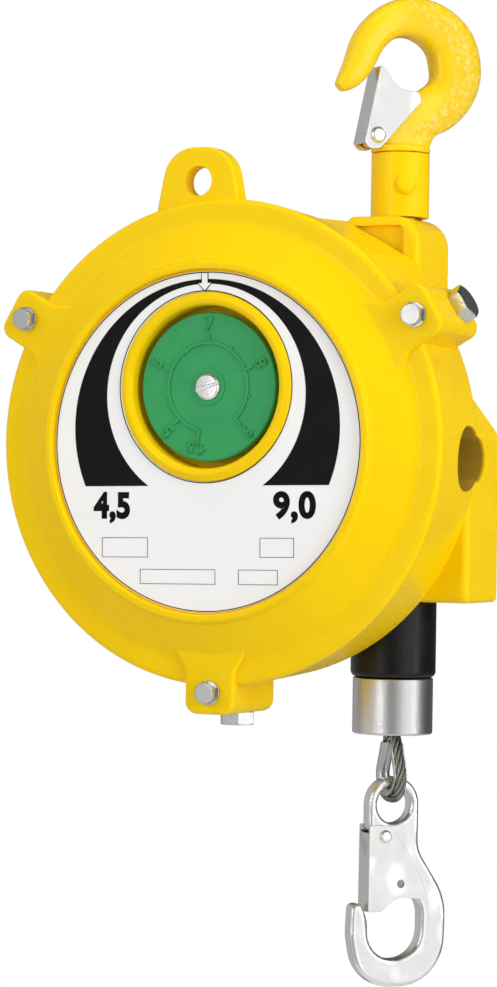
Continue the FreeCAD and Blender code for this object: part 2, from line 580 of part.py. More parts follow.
def dial_idler():
    """Double gear between arbor and dial: the large wheel is driven, the small one drives the dial."""
    gap_turn = idler_angle() + 180.0 + 180.0 / LARGE_TEETH
    large = spur_gear(DIAL_MODULE, LARGE_TEETH, 8.9, 10.8, 2.0 + RUNNING, turn=gap_turn, tip=0.9)
    small = spur_gear(DIAL_MODULE, PINION_TEETH, 6.9, 9.0, 2.0 + RUNNING, turn=180.0 - idler_angle())
    return fused(large, small).translated(Vector(IDLER_X, 0, IDLER_Z))


def idler_pin():
    pin = turned_y([(0, 6.2), (2.9, 6.2, 0.2), (2.9, 6.8), (2.0, 6.8), (2.0, 14.8, 0.3), (0, 14.8)],
                   IDLER_X, IDLER_Z)
    return pin


def worm_wheel():
    """Wheel with slightly twisted teeth that match the worm's lead; a gap stands at the bottom."""
    front, rear = WORM_Y - 2.8, WORM_Y + 2.8
    lead = math.degrees(math.atan(WORM_MODULE / (2 * WORM_R)))
    pitch_r = WORM_MODULE * WHEEL_TEETH / 2
    twist = math.degrees((rear - front) * math.tan(math.radians(lead)) / pitch_r)
    corners = gear_outline(WORM_MODULE, WHEEL_TEETH, 0.85, 1.1, 0.42)
    ends = []
    for y, turn in ((front, twist / 2), (rear, -twist / 2)):
        wire = outline(corners, lambda u, v, y=y: Vector(u, y, v))
        ends.append(about_y(wire, 270.0 + 180.0 / WHEEL_TEETH + turn))
    wheel = Part.makeLoft(ends, True, True)
    return wheel.cut(disc_y(6.0, front - 1, rear + 1))


def arbor_nut():
    return hexagon_bar(16.0, (0, WORM_Y + 2.8, 0), (0, WORM_Y + 6.0, 0)).cut(disc_y(6.0, 90, 99))


def tension_worm():
    """Worm with journals and a hexagon end; turning it sets the preload of the mainspring."""
    length = 20.0
    tip_r, root_r = WORM_R + 0.85 * WORM_MODULE, WORM_R - 1.1 * WORM_MODULE
    pitch = math.pi * WORM_MODULE
    tip_half, root_half = 0.24 * WORM_MODULE, 0.80 * WORM_MODULE
    turns = 4
    helix = Part.makeHelix(pitch, pitch * turns, root_r)
    profile = Part.makePolygon([Vector(root_r - 0.4, 0, -root_half - 0.1), Vector(tip_r, 0, -tip_half),
                                Vector(tip_r, 0, tip_half), Vector(root_r - 0.4, 0, root_half + 0.1),
                                Vector(root_r - 0.4, 0, -root_half - 0.1)])
    thread = Part.Wire(helix).makePipeShell([profile], True, True)
    thread.translate(Vector(0, 0, -pitch * turns / 2))
    core = turned_z([(0, -17.0), (2.5, -17.0, 0.4), (2.5, -length / 2), (root_r, -length / 2),
                     (root_r, length / 2), (5.0, length / 2), (5.0, 48.0), (0, 48.0)])
    drive = hexagon_bar(8.0, (0, 0, 47.0), (0, 0, 60.0))
    worm = fused(core, thread, drive)
    worm.Placement = FreeCAD.Placement(Vector(0, WORM_Y, WORM_Z),
                                       FreeCAD.Rotation(Vector(0, 0, 1), Vector(-1, 0, 0)))
    return worm


# ---- dial --------------------------------------------------------------------------------------------
def dial():
    """Indicator disc with the gear moulded on its back."""
    disc = turned_y([(3.0 + RUNNING, 1.8), (6.4, 1.8), (6.4, 2.2), (DIAL_R, 2.2, 0.8), (DIAL_R, 5.9, 0.5),
                     (3.0 + RUNNING, 5.9)])
    gear = spur_gear(DIAL_MODULE, LARGE_TEETH, 5.5, 8.6, 3.0 + RUNNING,
                     turn=-idler_angle() + 180.0 / LARGE_TEETH, tip=0.9)
    return fused(disc, gear).translated(Vector(0, 0, DIAL_Z))


def dial_screw():
    screw = turned_y([(0, 0.2), (4.6, 0.4, 0.8), (5.4, 1.2, 0.4), (5.4, 1.7), (2.9, 1.7), (2.9, 3.2),
                      (1.55, 3.2), (1.55, 10.8), (0, 10.8)], 0, DIAL_Z)
    slot = box((-7.0, 7.0), (-1.0, 1.1), (-0.7, 0.7))
    return screw.cut(about_y(slot, 17.0).translated(Vector(0, 0, DIAL_Z)))


# ---- rope end ----------------------------------------------------------------------------------------
def rope_guide():
    """Bush with a flared lower mouth."""
    return turned_z([(3.2, -61.8), (5.4, -63.2), (8.0, -63.2), (8.0, -50.5), (5.4, -50.5), (3.2, -52.4)],
                    LOAD_X, LOAD_Y)


def rope_fall():
    """Rope between drum and casing exit; the part that grows when the rope is pulled out."""
    return rod(ROPE_R, (LOAD_X, LOAD_Y, GUIDE_Z), (LOAD_X, LOAD_Y, FALL_TOP_Z))


def rope_run():
    """Rope from the casing exit through buffer and collar to the ferrule."""
    return rod(ROPE_R, (LOAD_X, LOAD_Y, -102.0), (LOAD_X, LOAD_Y, GUIDE_Z))


def stop_buffer():
    return turned_z([(2.6, GUIDE_Z - 0.3), (BUFFER_R, GUIDE_Z - 0.3, 0.8), (BUFFER_R, -94.9, 2.6),
                     (2.6, -94.9)], LOAD_X, LOAD_Y)


def buffer_collar():
    return turned_z([(2.6, -95.1), (COLLAR_R, -95.1, 0.6), (COLLAR_R, -118.1, 1.0), (11.0, -118.1, 0.5),
                     (11.0, -101.0, 2.0), (2.6, -101.0)], LOAD_X, LOAD_Y)


LOOP_R = 8.2                  # rope centre radius round the bottom of the thimble
LOOP_Z = -135.1               # centre of that bend
LEG_GAP, LEG_TOP_Z = 2.35, -117.0


def loop_path(radius, top_u):
    """Open wire down one leg, round the bend and up the other, in the YZ plane of the hook frame."""
    rise = LEG_TOP_Z - LOOP_Z
    far = math.hypot(top_u, rise)
    lean = math.atan2(rise, top_u) - math.acos(radius / far)
    touch = Vector(0, radius * math.cos(lean), LOOP_Z + radius * math.sin(lean))
    other = Vector(0, -touch.y, touch.z)
    top = Vector(0, top_u, LEG_TOP_Z)
    top_other = Vector(0, -top_u, LEG_TOP_Z)
    return [Part.makeLine(top, touch),
            Part.Arc(touch, Vector(0, 0, LOOP_Z - radius), other).toShape(),
            Part.makeLine(other, top_other)]


def swept_tube(edges, radius):
    """Round bar swept along a path in the YZ plane."""
    path = Part.Wire(edges)
    start = path.Edges[0].valueAt(path.Edges[0].FirstParameter)
    ring = Part.Wire(Part.makeCircle(radius, start, path.Edges[0].tangentAt(path.Edges[0].FirstParameter)))
    return path.makePipeShell([ring], True, True)


def rope_eye():
    loop = swept_tube(loop_path(LOOP_R, LEG_GAP), ROPE_R)
    return on_load_line(loop.cut(box((-9, 9), (-9, 9), (-116.9, -110.0))))


def thimble():
    """Thimble of crescent section: one half swept round the bend, trimmed outside and mirrored."""
    leg, bend, _ = loop_path(LOOP_R, LEG_GAP)
    touch = leg.valueAt(leg.LastParameter)
    half_way = math.radians(-45.0)
    quarter = Part.Arc(touch, Vector(0, LOOP_R * math.cos(half_way), LOOP_Z + LOOP_R * math.sin(half_way)),
                       Vector(0, 0, LOOP_Z - LOOP_R)).toShape()
    tube = swept_tube([leg, quarter], ROPE_R + 0.65).cut(swept_tube([leg, quarter], ROPE_R + 0.05))
    edge = loop_path(LOOP_R + 0.5, LEG_GAP + 0.5)
    edge.append(Part.makeLine(edge[-1].valueAt(edge[-1].LastParameter), Vector(0, LEG_GAP + 0.5, LEG_TOP_Z)))
    trim = Part.Face(Part.Wire(edge)).extrude(Vector(6.8, 0, 0)).translated(Vector(-3.4, 0, 0))
    half = tube.common(trim).common(box((-4, 4), (0, 12), (-150, LEG_TOP_Z - 5.0)))
    return on_load_line(fused(half, half.mirror(Vector(0, 0, 0), Vector(0, 1, 0))))


def rope_ferrule():
    """Pressed oval sleeve that holds the returned rope end, sunk in the collar."""
    corners = [(-3.6, -6.2, 3.4), (3.6, -6.2, 3.4), (3.6, 6.2, 3.4), (-3.6, 6.2, 3.4)]
    sleeve = Part.Face(outline(corners, lambda u, v: Vector(u, v, -116.8))).extrude(Vector(0, 0, 14.8))
    return on_load_line(sleeve)


# ---- snap hook ---------------------------------------------------------------------------------------
GATE_PIVOT = (-4.6, -160.0)


def snap_hook():
    """Forged snap hook body: eye, back and bowl from one outline, edges rounded."""
    outer = [(11.4, EYE_Z + 11.4, 11.3), (-11.4, EYE_Z + 11.4, 11.3), (-11.4, EYE_Z - 9.0, 7.0),
             (-6.2, -163.8, 3.0), (0.2, -166.5, 6.0), (6.5, -178.0, 30.0), (13.0, -190.0, 12.0),
             (12.8, -210.6, 11.8), (-11.2, -210.6, 11.8), (-11.4, -194.0, 14.0), (-14.2, -187.6, 1.6),
             (-18.6, -187.0, 2.6), (-19.2, -200.0, 16.0), (-15.4, -221.8, 17.5), (23.4, -221.8, 20.0),
             (24.4, -186.0, 26.0), (11.2, -166.0, 14.0)]
    body = slab_y(outer, -3.5, 3.5)
    hole = rod(EYE_BORE_R, (0, -9, EYE_Z), (0, 9, EYE_Z))
    body = body.cut(hole)
    body = body.makeFillet(1.5, edges_where(body, lambda p: abs(abs(p.y) - 3.5) < 0.01))
    return on_load_line(body.cut(rod(1.55, (GATE_PIVOT[0], -9, GATE_PIVOT[1]), (GATE_PIVOT[0], 9, GATE_PIVOT[1]))))


def snap_gate():
    """Gate: a folded sheet channel that straddles the body and shuts inside the tip."""
    cheek = [(-11.9, -155.4, 0.6), (-2.0, -155.4, 3.5), (8.0, -170.0, 12.0), (14.4, -183.6, 1.2),
             (12.6, -186.4, 1.0), (1.0, -184.6, 9.0), (-6.4, -190.6, 0.6), (-12.1, -190.6, 0.6)]
    web = [(-11.9, -158.6), (-12.1, -190.6), (-11.1, -190.6), (-10.9, -158.6)]
    gate = channel(web, cheek, 4.8, 1.0)
    pivot = rod(1.55, (GATE_PIVOT[0], -9, GATE_PIVOT[1]), (GATE_PIVOT[0], 9, GATE_PIVOT[1]))
    gate = gate.cut([pivot, rod(1.6, (2.6, -9, -179.5), (2.6, 9, -179.5))])
    return on_load_line(gate)


def gate_spring():
    """Return spring, held inside the gate's channel."""
    return coil_spring((-8.0, -166.5), -2.4, 2.4, 1.7, 0.3, 5)


# ---- export ------------------------------------------------------------------------------------------
NODES = {
    "suspension_hook": suspension_hook,
    "hook_socket": hook_socket,
    "socket_pin": socket_pin,
    "hook_spindle": hook_spindle,
    "spindle_nut": spindle_nut,
    "thrust_washer": thrust_washer,
    "latch_rivet": lambda: rivet((-13.0, 127.3), 5.5, 2.0, 3.4),
    "latch_spring": latch_spring,
    "hook_latch": hook_latch,
    "main_housing": main_housing,
    "front_cover": front_cover,
    "name_plate": name_plate,
    "cover_bolts": cover_bolts,
    "cover_washers": cover_washers,
    "side_bolts": side_bolts,
    "rear_gear_cover": rear_gear_cover,
    "gear_cover_screws": gear_cover_screws,
    "arbor_bush_front": lambda: bush_y(5.5 + RUNNING, 7.5, 9.0, 11.6, 16.7, False),
    "arbor_bush_rear": lambda: bush_y(ARBOR_R + RUNNING, 11.0, 14.0, 79.8, 87.3, True),
    "swivel_bush": lambda: bush_z(7.0 + RUNNING, 9.0, 74.0, BOSS_TOP_Z),
    "rope_guide": rope_guide,
    "rope_drum": rope_drum,
    "rope_winding": rope_winding,
    "spring_cover": spring_cover,
    "mainspring": mainspring,
    "drum_bush_front": lambda: bush_y(ARBOR_R + RUNNING, 11.0, 14.0, 42.8, 53.0, True),
    "drum_bush_rear": lambda: bush_y(ARBOR_R + RUNNING, 11.0, 14.0, 71.0, 79.6, False),
    "arbor": arbor,
    "dial_pinion": dial_pinion,
    "worm_wheel": worm_wheel,
    "arbor_nut": arbor_nut,
    "tension_worm": tension_worm,
    "dial_idler": dial_idler,
    "idler_pin": idler_pin,
    "dial": dial,
    "dial_screw": dial_screw,
    "rope_fall": rope_fall,
    "rope_run": rope_run,
    "stop_buffer": stop_buffer,
    "buffer_collar": buffer_collar,
    "rope_ferrule": rope_ferrule,
    "rope_eye": rope_eye,
    "thimble": thimble,
    "snap_hook": snap_hook,
    "gate_rivet": lambda: rivet(GATE_PIVOT, 4.9, 1.5, 2.7),
    "gate_spring": gate_spring,
    "snap_gate": snap_gate,
}


def main():
    os.makedirs("parts", exist_ok=True)
    to_origin = Vector(-LOAD_X, -LOAD_Y, -HOOK_SEAT_Z)
    for name, make in NODES.items():
        shape = make().translated(to_origin)
        print(f"{name:20s} {shape.Volume / 1000:9.2f} cm3  solids {len(shape.Solids)}  valid {shape.isValid()}")
        shape.exportStep(f"parts/{name}.step")


main()
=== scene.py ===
# %% [markdown]
# # A spring balancer, from bare castings to finished enamel
# A spring balancer hangs over a work place and carries a hand tool on a wire rope. The machine parts arrive
# ready made and fixed in place, so this file has two jobs. It gives every part the finish it has in a
# workshop, and it models the small things that were left out of the machine drawing, such as the printed
# name plate, the raised numbers of the dial and the strands of the rope.
# One unit is one metre everywhere. The origin is the seat of the top hook, -Y is towards the reader and +Z
# is up. Measures are written in millimetres and multiplied by MM where Blender needs metres.

# %% Load the machine parts
import math

import bpy
from mathutils import Matrix, Vector


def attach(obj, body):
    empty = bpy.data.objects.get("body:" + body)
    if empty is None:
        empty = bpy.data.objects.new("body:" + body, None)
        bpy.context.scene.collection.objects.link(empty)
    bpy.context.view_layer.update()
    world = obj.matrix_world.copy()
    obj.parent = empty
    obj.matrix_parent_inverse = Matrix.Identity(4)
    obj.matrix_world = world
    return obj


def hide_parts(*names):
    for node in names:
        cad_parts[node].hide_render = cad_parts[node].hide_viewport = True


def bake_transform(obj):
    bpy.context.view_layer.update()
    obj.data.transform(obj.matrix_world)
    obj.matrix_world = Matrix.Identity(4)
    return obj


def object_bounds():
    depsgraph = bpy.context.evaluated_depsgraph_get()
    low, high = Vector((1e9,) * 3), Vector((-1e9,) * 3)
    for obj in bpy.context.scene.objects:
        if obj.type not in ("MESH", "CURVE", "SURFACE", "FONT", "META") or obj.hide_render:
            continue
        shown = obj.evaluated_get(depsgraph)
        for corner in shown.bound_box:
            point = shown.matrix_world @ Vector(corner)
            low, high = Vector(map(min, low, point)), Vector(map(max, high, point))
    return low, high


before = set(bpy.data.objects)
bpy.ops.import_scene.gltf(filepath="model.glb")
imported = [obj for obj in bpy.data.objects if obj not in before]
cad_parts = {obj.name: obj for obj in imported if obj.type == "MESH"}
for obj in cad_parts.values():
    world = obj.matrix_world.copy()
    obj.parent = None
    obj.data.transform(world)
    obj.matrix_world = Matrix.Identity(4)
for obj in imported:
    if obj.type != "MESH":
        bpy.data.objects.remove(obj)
cad_low, cad_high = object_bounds()
MM = 0.001
AXIS_Z = -168.7                # height of the casing's axis from the seat of the top hook
DIAL_UP = 22.0                 # the dial's axis lies this much higher
CASING = Vector((-53.0, -70.0, AXIS_Z)) * MM
DIAL = CASING + Vector((0, 0, DIAL_UP)) * MM
print("parts", len(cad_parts), "size in mm", [round(v / MM, 1) for v in cad_high - cad_low])

# %% [markdown]
# ## Camera
# A catalogue view is taken from far away with a long lens, so the circles of the casing stay nearly parallel.
# The camera stands 1.3 m away, 27 degrees to the right of the face and level with it, and leans by one degree
# because the balancer hangs a little out of plumb. It looks straight at the casing's axis, and the lens is
# shifted to bring both hooks into the frame, because a turned camera would change the perspective.

# %% Camera on a long lens
AWAY = 1.3
azimuth, elevation, lean = math.radians(26.8), math.radians(-0.9), math.radians(0.9)
back = Vector((math.sin(azimuth) * math.cos(elevation), -math.cos(azimuth) * math.cos(elevation),
               math.sin(elevation)))
right = Vector((math.cos(azimuth), math.sin(azimuth), 0))
up = back.cross(right)
right, up = right * math.cos(lean) + up * math.sin(lean), up * math.cos(lean) - right * math.sin(lean)
stand = CASING + back * AWAY
bpy.ops.object.camera_add(location=stand)
camera = bpy.context.object
camera.matrix_world = Matrix.Translation(stand) @ Matrix((right, up, back)).transposed().to_4x4()
camera.data.sensor_width = 36.0
camera.data.lens = 118.5
camera.data.shift_x, camera.data.shift_y = 0.0441, -0.0525
bpy.context.scene.camera = camera
print("camera", [round(v, 3) for v in camera.location])

# %% [markdown]
# ## Light, floor and background
# Enamel and bright metal show what stands around them, so the set is part of the finish. The world plays
# three parts. For matt surfaces it is an even pale grey, for the camera it is white paper, and for mirroring
# surfaces it is a room with light and dark walls, because a bright cylinder in an all-white room looks flat.
# A Light Path node tells which of them a ray asks for.

# %% Matt, mirrored and seen surroundings
scene = bpy.context.scene
scene.view_settings.view_transform = "Standard"
world = bpy.data.worlds.new("studio")
scene.world = world
world.use_nodes = True
wn, wl = world.node_tree.nodes, world.node_tree.links
wn.clear()


def backdrop(strength):
    node = wn.new("ShaderNodeBackground")
    node.inputs["Color"].default_value = (1, 1, 1, 1)
    node.inputs["Strength"].default_value = strength
    return node


def either(first, second, chosen):
    node = wn.new("ShaderNodeMixShader")
    wl.new(chosen, node.inputs[0])
    wl.new(first.outputs[0], node.inputs[1])
    wl.new(second.outputs[0], node.inputs[2])
    return node


path = wn.new("ShaderNodeLightPath")
matt, mirrored, paper = backdrop(0.42), backdrop(1.0), backdrop(1.0)
seen = wn.new("ShaderNodeMath")
seen.operation = "MAXIMUM"
wl.new(path.outputs["Is Camera Ray"], seen.inputs[0])
wl.new(path.outputs["Is Transmission Ray"], seen.inputs[1])
lighting = either(matt, mirrored, path.outputs["Is Glossy Ray"])
shown = either(lighting, paper, seen.outputs[0])
wl.new(shown.outputs[0], wn.new("ShaderNodeOutputWorld").inputs["Surface"])
print("surroundings made of", len(wn), "nodes")

# %% [markdown]
# The walls of the mirrored room are upright bands, so turned parts get upright light and dark stripes. Their
# heading is worked out from the direction of the ray, in degrees from -Y towards +X, and a colour ramp gives
# each heading its brightness. High up the room gets darker, as a studio does above its lamps.

# %% Light and dark walls of the mirrored room
BRIGHTEST = 1.5
WALLS = [(-180, 0.12), (-150, 0.12), (-125, 0.40), (-100, 0.52), (-92, 0.18), (-84, 0.16), (-77, 0.75),
         (-50, 0.72), (-38, 0.52), (-22, 0.58), (-12, 0.90), (-3, 0.70), (6, 0.22), (25, 0.18), (36, 0.45),
         (50, 0.80), (57, 1.40), (64, 1.50), (69, 1.10), (74, 0.80), (81, 0.95), (87, 1.40), (91, 1.30),
         (99, 0.45), (108, 0.15), (125, 0.06), (150, 0.06), (180, 0.12)]
facing = wn.new("ShaderNodeSeparateXYZ")
wl.new(wn.new("ShaderNodeTexCoord").outputs["Generated"], facing.inputs[0])
forward = wn.new("ShaderNodeMath")
forward.operation = "MULTIPLY"
forward.inputs[1].default_value = -1.0
wl.new(facing.outputs["Y"], forward.inputs[0])
heading = wn.new("ShaderNodeMath")
heading.operation = "ARCTAN2"
wl.new(facing.outputs["X"], heading.inputs[0])
wl.new(forward.outputs[0], heading.inputs[1])
around = wn.new("ShaderNodeMapRange")
around.inputs["From Min"].default_value = -math.pi
around.inputs["From Max"].default_value = math.pi
wl.new(heading.outputs[0], around.inputs["Value"])
walls = wn.new("ShaderNodeValToRGB")
wl.new(around.outputs["Result"], walls.inputs["Fac"])
stops = walls.color_ramp.elements
for index, (degrees, level) in enumerate(WALLS):
    position = degrees / 360 + 0.5
    stop = stops[0] if index == 0 else stops[-1] if index == len(WALLS) - 1 else stops.new(position)
    stop.position = position
    stop.color = [level / BRIGHTEST] * 3 + [1]
wl.new(walls.outputs["Color"], mirrored.inputs["Color"])
ceiling = wn.new("ShaderNodeMapRange")
ceiling.inputs["From Min"].default_value = 0.45
ceiling.inputs["From Max"].default_value = 0.80
ceiling.inputs["To Min"].default_value = BRIGHTEST
ceiling.inputs["To Max"].default_value = BRIGHTEST * 0.3
wl.new(facing.outputs["Z"], ceiling.inputs["Value"])
wl.new(ceiling.outputs["Result"], mirrored.inputs["Strength"])
print("walls", len(stops))

# %% [markdown]
# Four large soft lamps give the light: the main one high on the left of the camera, a tall one far to the
# right that opens up the flank, one above, and a weak one behind for the back. They are hidden from mirroring
# surfaces, where a lamp would burn out to a white patch. Two narrow strips, one at the left of the camera and
# one far to the right, are there for the opposite reason: they add little light, but draw the upright
# highlights on everything round.

# %% Lamps
middle = (cad_low + cad_high) / 2


def soft_lamp(name, place, size, watts, mirrored_too=True):
    """A rectangular lamp that looks at the middle of the balancer."""
    bpy.ops.object.light_add(type="AREA", location=place)
    lamp = bpy.context.object
    lamp.name = name
    lamp.rotation_mode = "QUATERNION"
    lamp.rotation_quaternion = (middle - Vector(place)).to_track_quat("-Z", "Y")
    lamp.data.shape = "RECTANGLE"
    lamp.data.size, lamp.data.size_y = size
    lamp.data.energy = watts
    lamp.visible_glossy = mirrored_too


soft_lamp("main_left", (-1.0, -1.05, 0.35), (1.0, 1.1), 5.3, mirrored_too=False)
soft_lamp("tall_right", (1.28, -0.50, 0.05), (0.8, 1.2), 12.5, mirrored_too=False)
soft_lamp("top", (0.1, -0.2, 0.9), (0.8, 0.6), 4.0, mirrored_too=False)
soft_lamp("behind", (-0.7, 1.2, 0.3), (0.6, 0.6), 4.0, mirrored_too=False)
soft_lamp("strip_left", (-0.34, -1.45, 0.0), (0.12, 1.1), 3.0)
soft_lamp("strip_right", (1.42, -0.03, 0.0), (0.12, 1.1), 1.8)

# %% [markdown]
# The floor is a pale sheet far below the hook, so it mainly shows in views from above. It glows a little for
# the camera only, which brings it close to the white of the background without adding light to the tool, and
# it is clear from underneath, so that it hides nothing in views from below.

# %% Floor
FLOOR_Z = cad_low.z - 0.9
bpy.ops.mesh.primitive_grid_add(x_subdivisions=2, y_subdivisions=2, size=4.0, location=(0, 0, FLOOR_Z))
floor = bpy.context.object
floor.name = "floor"
bpy.ops.object.transform_apply(location=True, rotation=True, scale=True)
paint = bpy.data.materials.new("pale_floor")
paint.use_nodes = True
pn, pl = paint.node_tree.nodes, paint.node_tree.links
pn["Principled BSDF"].inputs["Base Color"].default_value = (0.9, 0.9, 0.9, 1)
pn["Principled BSDF"].inputs["Roughness"].default_value = 0.8
pn["Principled BSDF"].inputs["Emission Color"].default_value = (1, 1, 1, 1)
brighter = pn.new("ShaderNodeMath")
brighter.operation = "MULTIPLY"
brighter.inputs[1].default_value = 0.35
pl.new(pn.new("ShaderNodeLightPath").outputs["Is Camera Ray"], brighter.inputs[0])
pl.new(brighter.outputs[0], pn["Principled BSDF"].inputs["Emission Strength"])
from_below = pn.new("ShaderNodeMixShader")
pl.new(pn.new("ShaderNodeNewGeometry").outputs["Backfacing"], from_below.inputs[0])
pl.new(pn["Principled BSDF"].outputs[0], from_below.inputs[1])
pl.new(pn.new("ShaderNodeBsdfTransparent").outputs[0], from_below.inputs[2])
pl.new(from_below.outputs[0], pn["Material Output"].inputs["Surface"])
floor.data.materials.append(paint)
print("floor at", round(FLOOR_Z, 3), "m")

# %% [markdown]
# ## Shared surface effects
# Five effects turn up in several finishes: the faint orange-peel waves of enamel, the pitted skin of a rough
# forging or casting, the fine rings that a lathe leaves, the short scratches of handled metal and the grey
# dust that gathers on matt surfaces. Each is one node group with its own inputs, made once and placed in
# each material with the values that suit it.

# %% Node group helpers
def new_group(name, inputs, outputs):
    """An empty shader group; inputs and outputs are (name, socket type, default) lists."""
    group = bpy.data.node_groups.new(name, "ShaderNodeTree")
    for label, kind, default in inputs:
        socket = group.interface.new_socket(name=label, in_out="INPUT", socket_type=kind)
        socket.default_value = default
    for label, kind in outputs:
        group.interface.new_socket(name=label, in_out="OUTPUT", socket_type=kind)
    start, end = group.nodes.new("NodeGroupInput"), group.nodes.new("NodeGroupOutput")
    return group, start, end


def noise(tree, where, scale, detail=2.0, rough=0.5):
    node = tree.nodes.new("ShaderNodeTexNoise")
    node.inputs["Scale"].default_value = scale
    node.inputs["Detail"].default_value = detail
    node.inputs["Roughness"].default_value = rough
    tree.links.new(where, node.inputs["Vector"])
    return node


def ramp(tree, value, low, high):
    """Stretches the range low..high of a value to 0..1."""
    node = tree.nodes.new("ShaderNodeMapRange")
    node.inputs["From Min"].default_value = low
    node.inputs["From Max"].default_value = high
    tree.links.new(value, node.inputs["Value"])
    return node.outputs["Result"]


def scaled(tree, vector, amount):
    """Enlarges a place, and turns it, because noise shows its grid on faces that lie square to it."""
    turn = tree.nodes.new("ShaderNodeMapping")
    turn.inputs["Rotation"].default_value = (0.6, 0.4, 0.9)
    tree.links.new(vector, turn.inputs["Vector"])
    node = tree.nodes.new("ShaderNodeVectorMath")
    node.operation = "SCALE"
    tree.links.new(turn.outputs[0], node.inputs[0])
    tree.links.new(amount, node.inputs["Scale"])
    return node.outputs[0]


def math_node(tree, operation, first, second):
    node = tree.nodes.new("ShaderNodeMath")
    node.operation = operation
    for socket, value in zip(node.inputs, (first, second)):
        if isinstance(value, (int, float)):
            socket.default_value = value
        else:
            tree.links.new(value, socket)
    return node.outputs[0]


print("helpers for node groups ready")


# %% Orange peel and pitted skin
VECTOR, FLOAT = "NodeSocketVector", "NodeSocketFloat"
peel, start, end = new_group("orange_peel", [("Place", VECTOR, (0, 0, 0)), ("Scale", FLOAT, 300.0)],
                             [("Height", FLOAT)])
wave = noise(peel, scaled(peel, start.outputs["Place"], start.outputs["Scale"]), 1.0, 1.0)
peel.links.new(wave.outputs["Fac"], end.inputs["Height"])

pits, start, end = new_group("pitted_skin", [("Place", VECTOR, (0, 0, 0)), ("Scale", FLOAT, 400.0)],
                             [("Height", FLOAT), ("Hollow", FLOAT)])
where = scaled(pits, start.outputs["Place"], start.outputs["Scale"])
coarse, fine = noise(pits, where, 0.35, 3.0, 0.55), noise(pits, where, 1.6, 4.0, 0.6)
sum_height = math_node(pits, "ADD", math_node(pits, "MULTIPLY", coarse.outputs["Fac"], 0.65),
                       math_node(pits, "MULTIPLY", fine.outputs["Fac"], 0.35))
pits.links.new(sum_height, end.inputs["Height"])
pits.links.new(ramp(pits, sum_height, 0.52, 0.36), end.inputs["Hollow"])
print("effects", [group.name for group in bpy.data.node_groups])

# %% [markdown]
# Lathe rings run along one measure only, so their noise is one-dimensional. Scratches are noise drawn out
# long in one direction, and dust is soft noise with its low values cut away.

# %% Lathe rings, scratches and dust
rings, start, end = new_group("lathe_rings", [("Radius", FLOAT, 0.0), ("Per metre", FLOAT, 3000.0)],
                              [("Height", FLOAT)])
turns = math_node(rings, "MULTIPLY", start.outputs["Radius"], start.outputs["Per metre"])
jitter = rings.nodes.new("ShaderNodeTexNoise")
jitter.noise_dimensions = "1D"
jitter.inputs["Scale"].default_value = 1.0
jitter.inputs["Detail"].default_value = 4.0
rings.links.new(turns, jitter.inputs["W"])
rings.links.new(jitter.outputs["Fac"], end.inputs["Height"])

scratch, start, end = new_group("fine_scratches", [("Place", VECTOR, (0, 0, 0)), ("Scale", FLOAT, 200.0)],
                                [("Mask", FLOAT)])
where = scaled(scratch, start.outputs["Place"], start.outputs["Scale"])
stretch = scratch.nodes.new("ShaderNodeMapping")
stretch.inputs["Scale"].default_value = (1.0, 1.0, 14.0)
stretch.inputs["Rotation"].default_value = (0.5, 0.4, 0.3)
scratch.links.new(where, stretch.inputs["Vector"])
lines = noise(scratch, stretch.outputs["Vector"], 1.0, 3.0, 0.6)
scratch.links.new(ramp(scratch, lines.outputs["Fac"], 0.5, 0.75), end.inputs["Mask"])

dust, start, end = new_group("settled_dust", [("Place", VECTOR, (0, 0, 0)), ("Scale", FLOAT, 60.0)],
                             [("Mask", FLOAT)])
where = scaled(dust, start.outputs["Place"], start.outputs["Scale"])
cloud = noise(dust, where, 1.0, 5.0, 0.65)
dust.links.new(ramp(dust, cloud.outputs["Fac"], 0.45, 0.75), end.inputs["Mask"])
print("effects", [group.name for group in bpy.data.node_groups])

# %% [markdown]
# ## Materials
# Each finish starts as a plain Principled surface. The colour then varies a little with one of the effects,
# the roughness follows it, and a Bump node gives the fine relief. What is the same all over, such as the
# clear gloss of enamel, is set straight on the shader.

# %% A workbench for materials
def surface(name, metallic=0.0, roughness=0.4, coat=0.0, specular=0.5, edge=0.0):
    """A material with its shader and Object coordinates; edge is the radius to which corners are softened."""
    made = bpy.data.materials.new(name)
    made.use_nodes = True
    tree = made.node_tree
    shader = tree.nodes["Principled BSDF"]
    shader.inputs["Metallic"].default_value = metallic
    shader.inputs["Roughness"].default_value = roughness
    shader.inputs["Coat Weight"].default_value = coat
    shader.inputs["Coat Roughness"].default_value = 0.06
    shader.inputs["Specular IOR Level"].default_value = specular
    if edge:
        rounded = tree.nodes.new("ShaderNodeBevel")
        rounded.samples = 6
        rounded.inputs["Radius"].default_value = edge
        tree.links.new(rounded.outputs[0], shader.inputs["Normal"])
    place = tree.nodes.new("ShaderNodeTexCoord").outputs["Object"]
    return made, tree, shader, place


def placed(tree, group, place, scale):
    node = tree.nodes.new("ShaderNodeGroup")
    node.node_tree = group
    tree.links.new(place, node.inputs["Place"])
    node.inputs["Scale"].default_value = scale
    return node


def two_colours(tree, shader, mask, first, second):
    mix = tree.nodes.new("ShaderNodeMix")
    mix.data_type = "RGBA"
    mix.inputs["A"].default_value = (*first, 1)
    mix.inputs["B"].default_value = (*second, 1)
    tree.links.new(mask, mix.inputs["Factor"])
    tree.links.new(mix.outputs["Result"], shader.inputs["Base Color"])


def relief(tree, shader, height, depth):
    """Adds bumps on top of whatever shapes the normal so far."""
    bump = tree.nodes.new("ShaderNodeBump")
    bump.inputs["Distance"].default_value = depth
    tree.links.new(height, bump.inputs["Height"])
    for link in shader.inputs["Normal"].links:
        tree.links.new(link.from_socket, bump.inputs["Normal"])
    tree.links.new(bump.outputs["Normal"], shader.inputs["Normal"])


